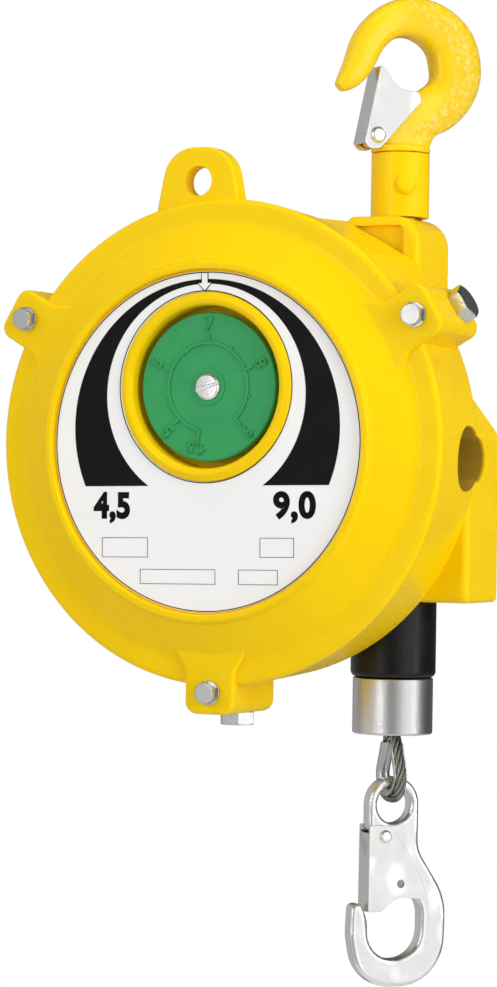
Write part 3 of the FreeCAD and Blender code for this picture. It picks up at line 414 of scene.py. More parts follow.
def rough_from(tree, shader, mask, low, high):
    node = tree.nodes.new("ShaderNodeMapRange")
    node.inputs["To Min"].default_value = low
    node.inputs["To Max"].default_value = high
    tree.links.new(mask, node.inputs["Value"])
    tree.links.new(node.outputs["Result"], shader.inputs["Roughness"])


print("workbench ready")


# %% [markdown]
# The castings are sanded and sprayed with thick gloss enamel, so they only show faint waves and a slow change
# of shade. Its reflections are tinted, because a strong yellow pigment colours them.

# %% Yellow enamel of the castings
YELLOW, YELLOW_DEEP = (0.955, 0.635, 0.001), (0.93, 0.60, 0.001)
enamel, tree, shader, place = surface("yellow_enamel", roughness=0.3, coat=0.08, specular=0.24)
waves = placed(tree, peel, place, 420.0)
cloudy = placed(tree, dust, place, 45.0)
shader.inputs["Specular Tint"].default_value = (1.0, 0.85, 0.35, 1)
two_colours(tree, shader, cloudy.outputs["Mask"], YELLOW, YELLOW_DEEP)
rough_from(tree, shader, waves.outputs["Height"], 0.24, 0.34)
relief(tree, shader, waves.outputs["Height"], 0.00005)
print(enamel.name, "from", YELLOW, "to", YELLOW_DEEP)

# %% [markdown]
# The top hook is forged, and the enamel follows the rough skin that the die left on the outer right of its
# bowl. Three soft steps find that face: far enough from the middle of the bowl, far enough to the right, and
# above the neck. Their product is the mask for the relief and for a painted glint: the highest points of the
# skin are painted a paler yellow, for the sparkle of light on them.

# %% Enamel on the forged hook
BOWL_Z = -14.2 * MM            # height of the bowl's middle
forged, tree, shader, place = surface("enamel_on_forging", roughness=0.3, coat=0.3, specular=0.3)
skin = placed(tree, pits, place, 1300.0)
spot = tree.nodes.new("ShaderNodeMapping")
spot.inputs["Location"].default_value = (0, 0, -BOWL_Z)
tree.links.new(place, spot.inputs["Vector"])
reach = tree.nodes.new("ShaderNodeVectorMath")
reach.operation = "LENGTH"
tree.links.new(spot.outputs["Vector"], reach.inputs[0])
split = tree.nodes.new("ShaderNodeSeparateXYZ")
tree.links.new(spot.outputs["Vector"], split.inputs[0])
outer = ramp(tree, reach.outputs["Value"], 20.5 * MM, 23.5 * MM)
outward = ramp(tree, split.outputs["X"], 1.0 * MM, 7.0 * MM)
above_neck = ramp(tree, split.outputs["Z"], -31.0 * MM, -24.0 * MM)
rough_face = math_node(tree, "MULTIPLY", math_node(tree, "MULTIPLY", outer, outward), above_neck)
grain = math_node(tree, "MULTIPLY", skin.outputs["Height"], rough_face)
# Painted glint: the highest points of the rough skin are painted a paler yellow, as if lit.
raised = ramp(tree, skin.outputs["Height"], 0.50, 0.60)
two_colours(tree, shader, math_node(tree, "MULTIPLY", raised, rough_face), YELLOW, (0.97, 0.75, 0.16))
rough_from(tree, shader, skin.outputs["Height"], 0.22, 0.32)
relief(tree, shader, grain, 0.0013)
print(forged.name, "with", len(tree.nodes), "nodes")

# %% [markdown]
# Bare metal is all reflection, so its colour is light and its roughness tells the finish apart: machined,
# plated or polished. Fine scratches vary both. A slow sway of the surface keeps flat sheet from mirroring one
# even tone, and softened edges catch the light as stamped and forged edges do.

# %% Machined, plated and polished metal
def metal(name, light, dark, rough, scale=900.0, depth=0.000006, spread=0.06, edge=0.0, sway=0.0003):
    """Scratched metal; spread is the extra roughness of a scratch, sway the depth of the slow waves."""
    made, tree, shader, place = surface(name, metallic=1.0, roughness=rough, edge=edge)
    marks = placed(tree, scratch, place, scale)
    two_colours(tree, shader, marks.outputs["Mask"], light, dark)
    rough_from(tree, shader, marks.outputs["Mask"], rough, rough + spread)
    relief(tree, shader, placed(tree, peel, place, 55.0).outputs["Height"], sway)
    relief(tree, shader, marks.outputs["Mask"], depth)
    return made


machined = metal("machined_steel", (0.58, 0.58, 0.57), (0.46, 0.46, 0.46), 0.28)
zinc = metal("bright_zinc", (0.80, 0.80, 0.79), (0.68, 0.68, 0.67), 0.2, edge=0.5 * MM, sway=0.0014)
bolt_zinc = metal("galvanised_bolts", (0.64, 0.64, 0.63), (0.44, 0.44, 0.43), 0.24, 600.0, edge=0.6 * MM)
chrome = metal("polished_chrome", (0.87, 0.87, 0.87), (0.80, 0.80, 0.80), 0.11, edge=1.8 * MM, sway=0.0014)
screw_zinc = metal("plated_screws", (0.90, 0.90, 0.89), (0.80, 0.80, 0.79), 0.24, edge=0.4 * MM)
bronze = metal("sintered_bronze", (0.60, 0.42, 0.20), (0.42, 0.28, 0.12), 0.4)
spring_steel = metal("blued_spring_steel", (0.24, 0.26, 0.31), (0.14, 0.14, 0.17), 0.33)
rope_steel = metal("greased_rope_steel", (0.34, 0.33, 0.30), (0.15, 0.14, 0.13), 0.34, 500.0, 0.00003, 0.12)
print("metals", [made.name for made in (machined, zinc, bolt_zinc, chrome, screw_zinc, bronze)])

# %% [markdown]
# The straight rope is a plain bar here, so its material draws the six strands: the heading round the bar and
# the height along it are added, and the sum repeats once a strand. On the drum the rope runs round in closed
# turns, where slanting bands are enough for what can be seen through the window.

# %% Straight and wound rope
LAY = 26.0                     # one strand goes once round the rope in this many millimetres
rope_line, tree, shader, place = surface("laid_rope_steel", metallic=1.0, roughness=0.36)
split = tree.nodes.new("ShaderNodeSeparateXYZ")
tree.links.new(place, split.inputs[0])
turned_by = math_node(tree, "ARCTAN2", split.outputs["Y"], split.outputs["X"])
count = math_node(tree, "ADD", math_node(tree, "MULTIPLY", turned_by, 6 / (2 * math.pi)),
                  math_node(tree, "MULTIPLY", split.outputs["Z"], 6 / (LAY * MM)))
across = math_node(tree, "PINGPONG", count, 0.5)
strands = ramp(tree, across, 0.0, 0.35)
two_colours(tree, shader, strands, (0.10, 0.09, 0.08), (0.38, 0.37, 0.35))
relief(tree, shader, strands, 0.0004)

wound_rope, tree, shader, place = surface("wound_rope_steel", metallic=1.0, roughness=0.34)
slant = tree.nodes.new("ShaderNodeTexWave")
slant.bands_direction = "DIAGONAL"
slant.inputs["Scale"].default_value = 75.0
slant.inputs["Distortion"].default_value = 0.3
tree.links.new(place, slant.inputs["Vector"])
two_colours(tree, shader, slant.outputs["Fac"], (0.16, 0.12, 0.08), (0.42, 0.36, 0.26))
relief(tree, shader, slant.outputs["Fac"], 0.0004)
print("a strand goes once round in", LAY, "mm")

# %% [markdown]
# A boring bar and a lathe leave rings that follow each other along the axis of the cut: along X in the window
# of the housing, along Z on the collar. The die casting of the drum stays raw, pitted and dull.

# %% Bored, turned and cast surfaces
def tool_rings(tree, place, axis, per_metre):
    """Height of the rings that a cutting tool leaves along one axis."""
    lathe = tree.nodes.new("ShaderNodeGroup")
    lathe.node_tree = rings
    along = tree.nodes.new("ShaderNodeSeparateXYZ")
    tree.links.new(place, along.inputs[0])
    tree.links.new(along.outputs[axis], lathe.inputs["Radius"])
    lathe.inputs["Per metre"].default_value = per_metre
    return lathe.outputs["Height"]


bored, tree, shader, place = surface("bored_wall", metallic=0.1, roughness=0.5)
cut = tool_rings(tree, place, "X", 2600.0)
two_colours(tree, shader, cut, (0.62, 0.40, 0.03), (0.40, 0.24, 0.015))
relief(tree, shader, cut, 0.00008)

raw_cast, tree, shader, place = surface("raw_die_casting", metallic=0.8, roughness=0.5)
skin = placed(tree, pits, place, 500.0)
two_colours(tree, shader, skin.outputs["Hollow"], (0.42, 0.40, 0.37), (0.24, 0.22, 0.20))
relief(tree, shader, skin.outputs["Height"], 0.0003)

turned, tree, shader, place = surface("turned_aluminium", metallic=1.0, roughness=0.32)
cut = tool_rings(tree, place, "Z", 3200.0)
two_colours(tree, shader, cut, (0.74, 0.74, 0.74), (0.60, 0.60, 0.60))
rough_from(tree, shader, cut, 0.26, 0.44)
relief(tree, shader, cut, 0.00006)
print("surfaces", bored.name, raw_cast.name, turned.name)

# %% [markdown]
# The buffer, the plate, its ink and the dial are evenly coloured. A trace of dust and a very fine skin are
# all that keeps them from looking like flat paint.

# %% Rubber, plate, print and dial green
rubber, tree, shader, place = surface("black_rubber", roughness=0.36, specular=0.3)
grey = placed(tree, dust, place, 110.0)
two_colours(tree, shader, grey.outputs["Mask"], (0.005, 0.005, 0.005), (0.011, 0.010, 0.010))
rough_from(tree, shader, grey.outputs["Mask"], 0.32, 0.46)
relief(tree, shader, placed(tree, peel, place, 900.0).outputs["Height"], 0.00008)

plate_white, tree, shader, place = surface("plate_white", roughness=0.35)
grey = placed(tree, dust, place, 30.0)
two_colours(tree, shader, grey.outputs["Mask"], (0.93, 0.93, 0.925), (0.90, 0.90, 0.89))
relief(tree, shader, placed(tree, peel, place, 700.0).outputs["Height"], 0.00002)

print_black, tree, shader, place = surface("printed_black", roughness=0.45, specular=0.08)
grey = placed(tree, dust, place, 80.0)
two_colours(tree, shader, grey.outputs["Mask"], (0.005, 0.005, 0.006), (0.009, 0.009, 0.009))
relief(tree, shader, placed(tree, peel, place, 800.0).outputs["Height"], 0.00002)

dial_green, tree, shader, place = surface("dial_green", roughness=0.3, specular=0.35)
grey = placed(tree, dust, place, 90.0)
two_colours(tree, shader, grey.outputs["Mask"], (0.024, 0.34, 0.10), (0.020, 0.30, 0.085))
relief(tree, shader, placed(tree, peel, place, 1100.0).outputs["Height"], 0.00004)
print("materials", len(bpy.data.materials))

# %% [markdown]
# ## Dressing the machine parts
# Every machine part keeps its shape and only gets its finish. The table below goes from finish to parts, the
# way a paint shop's list does.

# %% Finish list
FINISHES = [
    (enamel, "hook_socket socket_pin main_housing front_cover rear_gear_cover"),
    (forged, "suspension_hook"),
    (machined, "hook_spindle spindle_nut thrust_washer arbor arbor_nut tension_worm worm_wheel idler_pin "
               "spring_cover thimble"),
    (zinc, "hook_latch snap_gate"),
    (bolt_zinc, "cover_bolts cover_washers side_bolts"),
    (screw_zinc, "gear_cover_screws latch_rivet dial_screw gate_rivet"),
    (turned, "buffer_collar rope_ferrule"),
    (raw_cast, "rope_drum"),
    (rubber, "stop_buffer"),
    (chrome, "snap_hook"),
    (bronze, "arbor_bush_front arbor_bush_rear swivel_bush rope_guide drum_bush_front drum_bush_rear "
             "dial_pinion dial_idler"),
    (plate_white, "name_plate"),
    (dial_green, "dial"),
    (rope_line, "rope_fall rope_run"),
    (rope_steel, "rope_eye"),
    (wound_rope, "rope_winding"),
    (spring_steel, "mainspring latch_spring gate_spring"),
]
dressed = []
for finish, names in FINISHES:
    for name in names.split():
        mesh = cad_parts[name].data
        mesh.materials.clear()
        mesh.materials.append(finish)
        dressed.append(name)
print("dressed", len(dressed), "of", len(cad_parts))

# %% [markdown]
# ## The printed name plate
# The plate is a white disc with a hole for the dial. Its print is two black sickles that grow from the top
# towards the two ends of the scale, an arrow that points at the dial, the smallest and the largest load, and
# thin rims and empty fields. It could be drawn in the material, but as solids of less than a tenth of a
# millimetre its edges stay sharp from any distance.

# %% Helpers for every new piece
INK = 0.08 * MM
PLATE_TURN = math.radians(1.0)
UPRIGHT = (math.radians(90), 0, 0)


def deselect():
    bpy.ops.object.select_all(action="DESELECT")


def on_plate(x, z, lift=0.0):
    """A point of the plate's face from casing millimetres; lift stands out towards the reader."""
    return CASING + Vector((x, -lift, z)) * MM


def pick(piece):
    """Makes a piece the only one that is selected and active."""
    deselect()
    piece.select_set(True)
    bpy.context.view_layer.objects.active = piece


def apply_place():
    bpy.ops.object.transform_apply(location=True, rotation=True, scale=True)


def apply_modifiers(piece):
    pick(piece)
    for modifier in list(piece.modifiers):
        bpy.ops.object.modifier_apply(modifier=modifier.name)


def finish_piece(piece, name, material, body):
    """Applies what is live, puts the origin back and hands the piece to its body, if it has just one."""
    apply_modifiers(piece)
    apply_place()
    bpy.ops.object.origin_set(type="ORIGIN_CURSOR")
    piece.name = piece.data.name = name
    piece.data.materials.clear()
    piece.data.materials.append(material)
    if body:
        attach(piece, body)


def level(piece):
    """Turns a printed piece about the plate's centre, because the plate sits one degree out of square."""
    pick(piece)
    bpy.ops.transform.rotate(value=PLATE_TURN, orient_axis="Y", center_override=CASING)


def thicken(piece, depth, offset=1.0):
    solid = piece.modifiers.new("ink", "SOLIDIFY")
    solid.thickness = depth
    solid.offset = offset


def soften(piece, width):
    """A small rounded edge, as moulded or stamped things have."""
    edge = piece.modifiers.new("edge", "BEVEL")
    edge.width = width * MM
    edge.segments = 2
    edge.limit_method = "ANGLE"


def face_front(piece):
    """Makes the normals of a flat piece agree and point out of the plate."""
    bpy.ops.object.mode_set(mode="EDIT")
    bpy.ops.mesh.select_all(action="SELECT")
    bpy.ops.mesh.normals_make_consistent(inside=False)
    bpy.ops.object.mode_set(mode="OBJECT")
    if piece.data.polygons[0].normal.y > 0:
        piece.data.flip_normals()


# %% [markdown]
# A ring of print starts as two circles of equal count. Bridging them gives a ring even where the circles
# aren't concentric, as in the sickles, whose lower part is then cut off straight.

# %% Sickles and rims
def flat_ring(outer, inner, cut_below=None, lift=0.0, count=160):
    """Flat ring between two circles, each given as (radius, height of its centre), in casing millimetres."""
    deselect()
    bpy.ops.mesh.primitive_circle_add(vertices=count, radius=outer[0] * MM, fill_type="NOTHING",
                                      location=on_plate(0, outer[1], lift), rotation=UPRIGHT)
    ring = bpy.context.object
    apply_place()
    bpy.ops.object.mode_set(mode="EDIT")
    bpy.ops.mesh.primitive_circle_add(vertices=count, radius=inner[0] * MM, fill_type="NOTHING",
                                      location=on_plate(0, inner[1], lift), rotation=UPRIGHT)
    bpy.ops.mesh.select_all(action="SELECT")
    bpy.ops.mesh.bridge_edge_loops()
    if cut_below is not None:
        bpy.ops.mesh.select_all(action="SELECT")
        bpy.ops.mesh.bisect(plane_co=on_plate(0, cut_below), plane_no=(0, 0, 1), clear_inner=True)
    bpy.ops.object.mode_set(mode="OBJECT")
    face_front(ring)
    return ring


def print_piece(piece, name, ink):
    """Levels a flat piece, gives it the thickness of ink and hands it to the casing."""
    level(piece)
    thicken(piece, INK)
    finish_piece(piece, name, ink, "housing")


print_piece(flat_ring((59.3, 5.9), (44.5, 18.8), cut_below=-17.6), "plate_sickles", print_black)
print_piece(flat_ring((68.1, 0.0), (67.7, 0.0)), "plate_outer_rim", print_black)
print_piece(flat_ring((38.7, DIAL_UP), (38.3, DIAL_UP)), "plate_inner_rim", print_black)
print("rings of print done")

# %% [markdown]
# The arrow is a flat shaft whose lower edge is extruded twice, first widened in place to the head's shoulders
# and then drawn down to a point. The black line round it is the same outline, a little larger and a little
# deeper. The data fields stay empty: each frame is a face that is inset by the width of the line, with the
# middle removed.

# %% Arrow
def printed_arrow(name, ink, grow, lift):
    """Arrow pointing down at the dial; grow widens it on all sides, in millimetres."""
    deselect()
    top, neck, tip = 67.6 + grow * 0.5, 63.6 + grow * 0.4, 60.6 - grow * 1.6
    shaft_wide, head_wide = 2.5 + 2 * grow, 5.6 + 3.4 * grow
    bpy.ops.mesh.primitive_plane_add(size=MM, location=on_plate(0, (top + neck) / 2, lift), rotation=UPRIGHT)
    arrow = bpy.context.object
    arrow.scale = (shaft_wide, top - neck, 1)
    apply_place()
    bpy.ops.object.mode_set(mode="EDIT")
    bpy.ops.mesh.select_all(action="DESELECT")
    bpy.ops.object.mode_set(mode="OBJECT")
    low_z = min(v.co.z for v in arrow.data.vertices)
    for vertex in arrow.data.vertices:
        vertex.select = vertex.co.z < low_z + 1e-6
    for edge in arrow.data.edges:
        edge.select = all(arrow.data.vertices[v].select for v in edge.vertices)
    bpy.ops.object.mode_set(mode="EDIT")
    bpy.ops.mesh.extrude_region_move(TRANSFORM_OT_translate={"value": (0, 0, 0)})
    bpy.ops.transform.resize(value=(head_wide / shaft_wide, 1, 1), center_override=on_plate(0, neck, lift))
    bpy.ops.mesh.extrude_region_move(TRANSFORM_OT_translate={"value": (0, 0, (tip - neck) * MM)})
    bpy.ops.transform.resize(value=(0.02, 1, 1), center_override=on_plate(0, tip, lift))
    bpy.ops.mesh.select_all(action="SELECT")
    bpy.ops.mesh.dissolve_degenerate()
    bpy.ops.object.mode_set(mode="OBJECT")
    face_front(arrow)
    print_piece(arrow, name, ink)


printed_arrow("plate_arrow_outline", print_black, 0.35, 0.09)
printed_arrow("plate_arrow", plate_white, 0.0, 0.18)
print("arrow points at the dial")

# %% Empty fields
FIELD_LINE = 0.22 * MM


def printed_frame(name, low, high):
    """Thin rectangular outline between two corners (x, z)."""
    deselect()
    middle_x, middle_z = (low[0] + high[0]) / 2, (low[1] + high[1]) / 2
    bpy.ops.mesh.primitive_plane_add(size=MM, location=on_plate(middle_x, middle_z), rotation=UPRIGHT)
    outline = bpy.context.object
    outline.scale = (high[0] - low[0], high[1] - low[1], 1)
    apply_place()
    bpy.ops.object.mode_set(mode="EDIT")
    bpy.ops.mesh.select_all(action="SELECT")
    bpy.ops.mesh.inset(thickness=FIELD_LINE, depth=0)
    bpy.ops.mesh.delete(type="ONLY_FACE")
    bpy.ops.object.mode_set(mode="OBJECT")
    print_piece(outline, name, print_black)


FIELDS = [((-46.8, -46.4), (-25.8, -38.4)), ((24.3, -46.2), (39.3, -38.4)),
          ((-29.4, -57.1), (4.6, -51.1)), ((14.8, -57.1), (32.2, -51.1))]
for number, (low, high) in enumerate(FIELDS):
    printed_frame(f"plate_field_{number + 1}", low, high)
print("fields", len(FIELDS))

# %% [markdown]
# The two loads are set in heavy condensed figures. Blender's own typeface is light, so its outline is pushed
# outwards with the curve offset and scaled sideways, and the text is then made a mesh. Each text has its own
# weight, because the loop of the 9 breaks sooner than the other figures do.

# %% Smallest and largest load
def figures(text, height, width_factor, weight):
    """Text as a mesh standing in the plate's plane, centred on the origin."""
    deselect()
    bpy.ops.object.text_add(rotation=UPRIGHT)
    piece = bpy.context.object
    piece.data.body = text
    piece.data.align_x, piece.data.align_y = "CENTER", "CENTER"
    piece.data.size = 1.0
    piece.data.offset = weight
    piece.data.resolution_u = 6
    piece.data.space_character = 1.0 + weight * 1.4
    bpy.ops.object.convert(target="MESH")
    low = min(v.co.y for v in piece.data.vertices)
    high = max(v.co.y for v in piece.data.vertices)
    factor = height * MM / (high - low)
    piece.scale = (factor * width_factor, factor, factor)
    bpy.ops.object.transform_apply(location=False, rotation=True, scale=True)
    return piece


for text, x, width_factor, weight in (("4,5", -42.0, 0.92, 0.048), ("9,0", 39.5, 1.02, 0.043)):
    number = figures(text, 12.9, width_factor, weight)
    number.location = on_plate(x, -26.0)
    print_piece(number, "plate_load_" + text.replace(",", "_"), print_black)
print("loads printed")

# %% [markdown]
# ## The dial's raised scale
# The green dial is a moulding, so its scale is raised, not printed: an arc with a tick at every half
# kilogram and a figure at every whole one. Turning the dial by 67.5 degrees changes the load by one kilogram,
# and the scale is drawn for 7 at the top. Everything on it rides on the dial, so it turns along.

# %% Places on the dial
PER_KILO = 67.5
FACE = 2.2                     # the dial's face lies this far behind the plate
ARC_R = 17.7


def dial_angle(kilos):
    """Angle from +X towards +Z at which a load stands while 7 is at the top."""
    return 90.0 - (kilos - 7.0) * PER_KILO


def on_dial(radius, angle, lift=0.0):
    turn = math.radians(angle)
    return DIAL + Vector((radius * math.cos(turn), FACE - lift, radius * math.sin(turn))) * MM


def around_dial(piece, angle):
    """Turns a piece about the dial's axis, from +X towards +Z."""
    pick(piece)
    bpy.ops.transform.rotate(value=math.radians(angle), orient_axis="Y", center_override=DIAL)
    apply_place()


print("scale from", dial_angle(4.5), "to", dial_angle(9.0), "degrees")

# %% [markdown]
# The arc is a small flat section, stood at the place of the 9 and spun about the dial's axis to the place of
# the 4,5. Between the two the scale has a gap, which the last line checks.

# %% Arc of the scale
deselect()
bpy.ops.mesh.primitive_plane_add(size=MM, location=on_dial(ARC_R, 0, 0.2))
arc = bpy.context.object
arc.scale = (1.2, 0.9, 1)
apply_place()
around_dial(arc, dial_angle(9.0))
bpy.ops.object.mode_set(mode="EDIT")
bpy.ops.mesh.select_all(action="SELECT")
bpy.ops.mesh.spin(steps=96, angle=math.radians(4.5 * PER_KILO), center=DIAL, axis=(0, 1, 0))
bpy.ops.mesh.select_all(action="SELECT")
bpy.ops.mesh.normals_make_consistent(inside=False)
bpy.ops.object.mode_set(mode="OBJECT")
turns = [math.degrees(math.atan2((v.co - DIAL).z, (v.co - DIAL).x)) for v in arc.data.vertices]
in_gap = sum(dial_angle(4.5) - 360 + 1 < turn < dial_angle(9.0) - 1 for turn in turns)
print("arc has", len(arc.data.polygons), "faces and", in_gap, "corners in its gap")
soften(arc, 0.15)
finish_piece(arc, "dial_arc", dial_green, "dial_unit")

# %% [markdown]
# There are two kinds of tick, a long one at every figure and a short one at every half kilogram between them.
# Each kind is one bar with bevelled edges, modelled once along +X and copied into its places.

# %% Ticks, copied round the dial
def tick(inner, outer, wide):
    """One raised bar between two radii, along +X from the dial's axis."""
    deselect()
    bpy.ops.mesh.primitive_cube_add(size=MM, location=on_dial((inner + outer) / 2, 0, 0.25))
    bar = bpy.context.object
    bar.scale = (outer - inner, 0.9, wide)
    apply_place()
    soften(bar, 0.14)
    apply_modifiers(bar)
    return bar


def copied_to(bar, loads):
    """Copies of a bar, each with its own mesh, turned to the given loads; the first bar is used as well."""
    bars = [bar]
    for _ in loads[1:]:
        pick(bar)
        bpy.ops.object.duplicate()
        bars.append(bpy.context.object)
    for copy, kilos in zip(bars, loads):
        around_dial(copy, dial_angle(kilos))
    return bars


bars = copied_to(tick(ARC_R, ARC_R + 3.6, 1.1), (4.5, 5, 6, 7, 8, 9))
bars += copied_to(tick(ARC_R - 0.9, ARC_R + 1.6, 0.9), (5.5, 6.5, 7.5, 8.5))
pick(bars[-1])
for bar in bars:
    bar.select_set(True)
bpy.ops.object.join()
finish_piece(bpy.context.object, "dial_ticks", dial_green, "dial_unit")
print("ticks", len(bars))

# %% [markdown]
# The figures use the same text as the plate, only thinner. Each is set upright at the top of the dial and
# then turned to its load, so it reads upright when its load is the one that is set.

# %% Figures of the scale and the ring round the screw
for text, kilos in (("4,5", 4.5), ("5", 5), ("6", 6), ("7", 7), ("8", 8), ("9", 9)):
    number = figures(text, 5.7, 1.0, 0.03)
    number.location = on_dial(24.9, 90, 0.6)
    around_dial(number, dial_angle(kilos) - 90.0)
    thicken(number, 0.8 * MM, -1.0)
    finish_piece(number, "dial_figure_" + text.replace(",", "_"), dial_green, "dial_unit")
hub = flat_ring((7.4, DIAL_UP), (6.3, DIAL_UP), lift=-FACE + 0.45, count=64)
thicken(hub, 0.5 * MM, -1.0)
soften(hub, 0.12)
finish_piece(hub, "dial_hub_ring", dial_green, "dial_unit")
print("dial figures done")

# %% [markdown]
# ## The wire rope
# A wire rope is six strands laid round a core. Below the collar it is bent round the thimble and seen from
# close by, so here the strands are real. The section is one lobed circle, whose lobes are the outer wires of
# a strand. It is copied five times round the rope's axis, and all six are screwed up along Z into a straight
# rope, which a Curve modifier can then bend.

# %% A straight piece of rope
ROPE_R = 2.25
STRAND_R = ROPE_R / 3.0
WIRES = 9                      # outer wires of one strand
STRANDS = [Vector((math.cos(math.radians(60 * n)), math.sin(math.radians(60 * n)), 0)) * 2 * STRAND_R * MM
           for n in range(6)]


def lobed_circle(centre):
    """A circle with every second corner drawn in towards its centre."""
    deselect()
    bpy.ops.mesh.primitive_circle_add(vertices=WIRES * 2, radius=STRAND_R * 1.06 * MM, fill_type="NOTHING",
                                      location=centre)
    circle = bpy.context.object
    apply_place()
    bpy.ops.object.mode_set(mode="EDIT")
    bpy.ops.mesh.select_all(action="DESELECT")
    bpy.ops.object.mode_set(mode="OBJECT")
    for vertex in circle.data.vertices:
        vertex.select = vertex.index % 2 == 1
    bpy.ops.object.mode_set(mode="EDIT")
    bpy.ops.transform.resize(value=(0.84, 0.84, 0.84), center_override=centre)
    bpy.ops.object.mode_set(mode="OBJECT")
    return circle


def straight_rope(length):
    """Six strands round a core along +Z, in millimetres."""
    first = lobed_circle(STRANDS[0])
    strands = [first]
    for centre in STRANDS[1:]:
        pick(first)
        bpy.ops.object.duplicate()
        bpy.ops.transform.translate(value=centre - STRANDS[0])
        strands.append(bpy.context.object)
    pick(first)
    for strand in strands:
        strand.select_set(True)
    bpy.ops.object.join()
    laid = first.modifiers.new("lay", "SCREW")
    laid.axis = "Z"
    laid.screw_offset = length * MM
    laid.angle = 2 * math.pi * length / LAY
    laid.steps = laid.render_steps = int(length * 1.2)
    laid.use_merge_vertices = False
    apply_modifiers(first)
    return first


print("strand radius in mm", round(STRAND_R, 2))

# %% [markdown]
# The way of the loop is a smooth path guided by twelve points, down one leg, round the thimble and up the
# other. The hooks are turned about the load line, and the loop is turned along with them. The screwed rope is
# open at its two ends, so they are closed in edit mode.

# %% The loop round the thimble
LOOP_TURN = math.radians(50.0)
LEG_TOP, LEG_GAP = -117.2, 2.35
deselect()
bpy.ops.curve.primitive_nurbs_path_add()
loop_way = bpy.context.object
spline = loop_way.data.splines[0]
bend = [(LEG_GAP, LEG_TOP), (3.6, -121.0), (6.4, -128.0), (8.9, -134.6), (7.9, -141.2), (3.6, -144.4),
        (-3.6, -144.4), (-7.9, -141.2), (-8.9, -134.6), (-6.4, -128.0), (-3.6, -121.0), (-LEG_GAP, LEG_TOP)]
spline.points.add(len(bend) - len(spline.points))
for point, (across, height) in zip(spline.points, bend):
    point.co = (-across * math.sin(LOOP_TURN) * MM, across * math.cos(LOOP_TURN) * MM,
                (height + AXIS_Z) * MM, 1.0)
spline.order_u = 3
spline.use_endpoint_u = True
loop_way.data.resolution_u = 24
way = bpy.data.meshes.new_from_object(loop_way)
way_length = sum((way.vertices[a].co - way.vertices[b].co).length for a, b in (e.vertices for e in way.edges))
lowest = min(v.co.z for v in way.vertices) / MM - AXIS_Z
half_width = max(v.co.xy.length for v in way.vertices) / MM
bpy.data.meshes.remove(way)
print("loop", round(way_length / MM, 1), "mm, lowest", round(lowest, 1), "half width", round(half_width, 2))
eye_rope = straight_rope(way_length / MM)
follow = eye_rope.modifiers.new("follow", "CURVE")
follow.object = loop_way
follow.deform_axis = "POS_Z"
apply_modifiers(eye_rope)
bpy.ops.object.mode_set(mode="EDIT")
bpy.ops.mesh.select_all(action="SELECT")
bpy.ops.mesh.normals_make_consistent(inside=False)
bpy.ops.mesh.select_all(action="DESELECT")
bpy.ops.mesh.select_non_manifold()
bpy.ops.mesh.edge_face_add()
bpy.ops.object.mode_set(mode="OBJECT")
finish_piece(eye_rope, "rope_eye_strands", rope_steel, "rope_end")
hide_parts("rope_eye")
bpy.data.objects.remove(loop_way)
print("strands", len(eye_rope.data.polygons), "faces")

# %% [markdown]
# Inside the casing the rope is a plain bar whose material draws the strands, because that part grows when the
# tool is pulled down. Its top stays with the casing and its bottom goes with the rope's end, and it is cut
# into short lengths so that it can stretch evenly.

# %% The part that grows when the rope is pulled out
LENGTHS = 24
deselect()
top, bottom = AXIS_Z - 23.0, AXIS_Z - 63.3
bpy.ops.mesh.primitive_cylinder_add(vertices=20, radius=ROPE_R * MM, depth=(top - bottom) * MM,
                                    location=(0, 0, (top + bottom) / 2 * MM))
fall = bpy.context.object
bpy.ops.object.mode_set(mode="EDIT")
for step in range(1, LENGTHS):
    bpy.ops.mesh.select_all(action="SELECT")
    bpy.ops.mesh.bisect(plane_co=(0, 0, (top + (bottom - top) * step / LENGTHS) * MM), plane_no=(0, 0, 1))
bpy.ops.object.mode_set(mode="OBJECT")
bpy.ops.object.shade_smooth_by_angle(angle=math.radians(40))
finish_piece(fall, "rope_fall_blended", rope_line, None)
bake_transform(fall)
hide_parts("rope_fall")
print("fall from", round(top, 1), "to", round(bottom, 1))

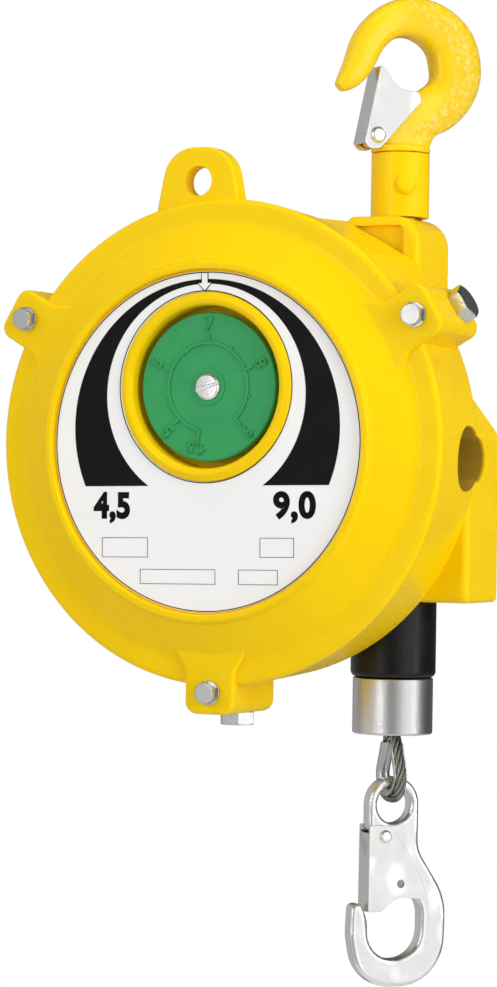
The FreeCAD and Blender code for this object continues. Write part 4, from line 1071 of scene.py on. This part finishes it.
# %% [markdown]
# ## The rope-change window
# Two overlapping bores in the side of the housing let a hand reach the rope's end on the drum. Their walls
# show the rings of the boring bar and are darker than the faces round them, so they need a finish of their
# own, while the housing is one part with one finish. The lining is two short tubes, cut where the bores meet
# and given a little thickness.

# %% Walls of the window
WINDOW_Z, BORES_MEET_Y = -5.2, 52.3


def bore_wall(name, y, radius, x_from, x_to, keep_front):
    """Tube along X that lines one bore as far as the plane where the bores meet."""
    deselect()
    bpy.ops.mesh.primitive_cylinder_add(vertices=96, radius=(radius - 0.02) * MM, depth=(x_to - x_from) * MM,
                                        end_fill_type="NOTHING", rotation=(0, math.radians(90), 0),
                                        location=CASING + Vector(((x_from + x_to) / 2, y, WINDOW_Z)) * MM)
    tube = bpy.context.object
    apply_place()
    bpy.ops.object.mode_set(mode="EDIT")
    bpy.ops.mesh.select_all(action="SELECT")
    bpy.ops.mesh.bisect(plane_co=CASING + Vector((0, BORES_MEET_Y, 0)) * MM, plane_no=(0, 1, 0),
                        clear_outer=keep_front, clear_inner=not keep_front)
    bpy.ops.object.mode_set(mode="OBJECT")
    thicken(tube, 0.12 * MM, -1.0)
    finish_piece(tube, name, bored, "housing")
    bpy.ops.object.shade_smooth_by_angle(angle=math.radians(30))


bore_wall("window_wall_front", 42.0, 13.2, 85.7, 95.6, True)
bore_wall("window_wall_rear", 57.0, 9.5, 79.8, 92.6, False)
print("window lined")

# %% [markdown]
# ## The recess of the boss
# The machine drawing leaves a deep recess in the front of the boss, while the casting's recess is shallow.
# A block with the enamel of the housing brings its floor forward. It fills the recess from wall to wall, so
# only its front shows.

# %% Floor of the recess
deselect()
recess_low, recess_high = (36.9, 53.6, 66.0), (63.1, 58.3, 89.7)
recess_middle = Vector([(a + b) / 2 for a, b in zip(recess_low, recess_high)])
bpy.ops.mesh.primitive_cube_add(size=MM, location=CASING + recess_middle * MM)
recess = bpy.context.object
recess.scale = [b - a for a, b in zip(recess_low, recess_high)]
finish_piece(recess, "boss_recess_floor", enamel, "housing")
print("recess floor", [round(v, 1) for v in recess_middle])
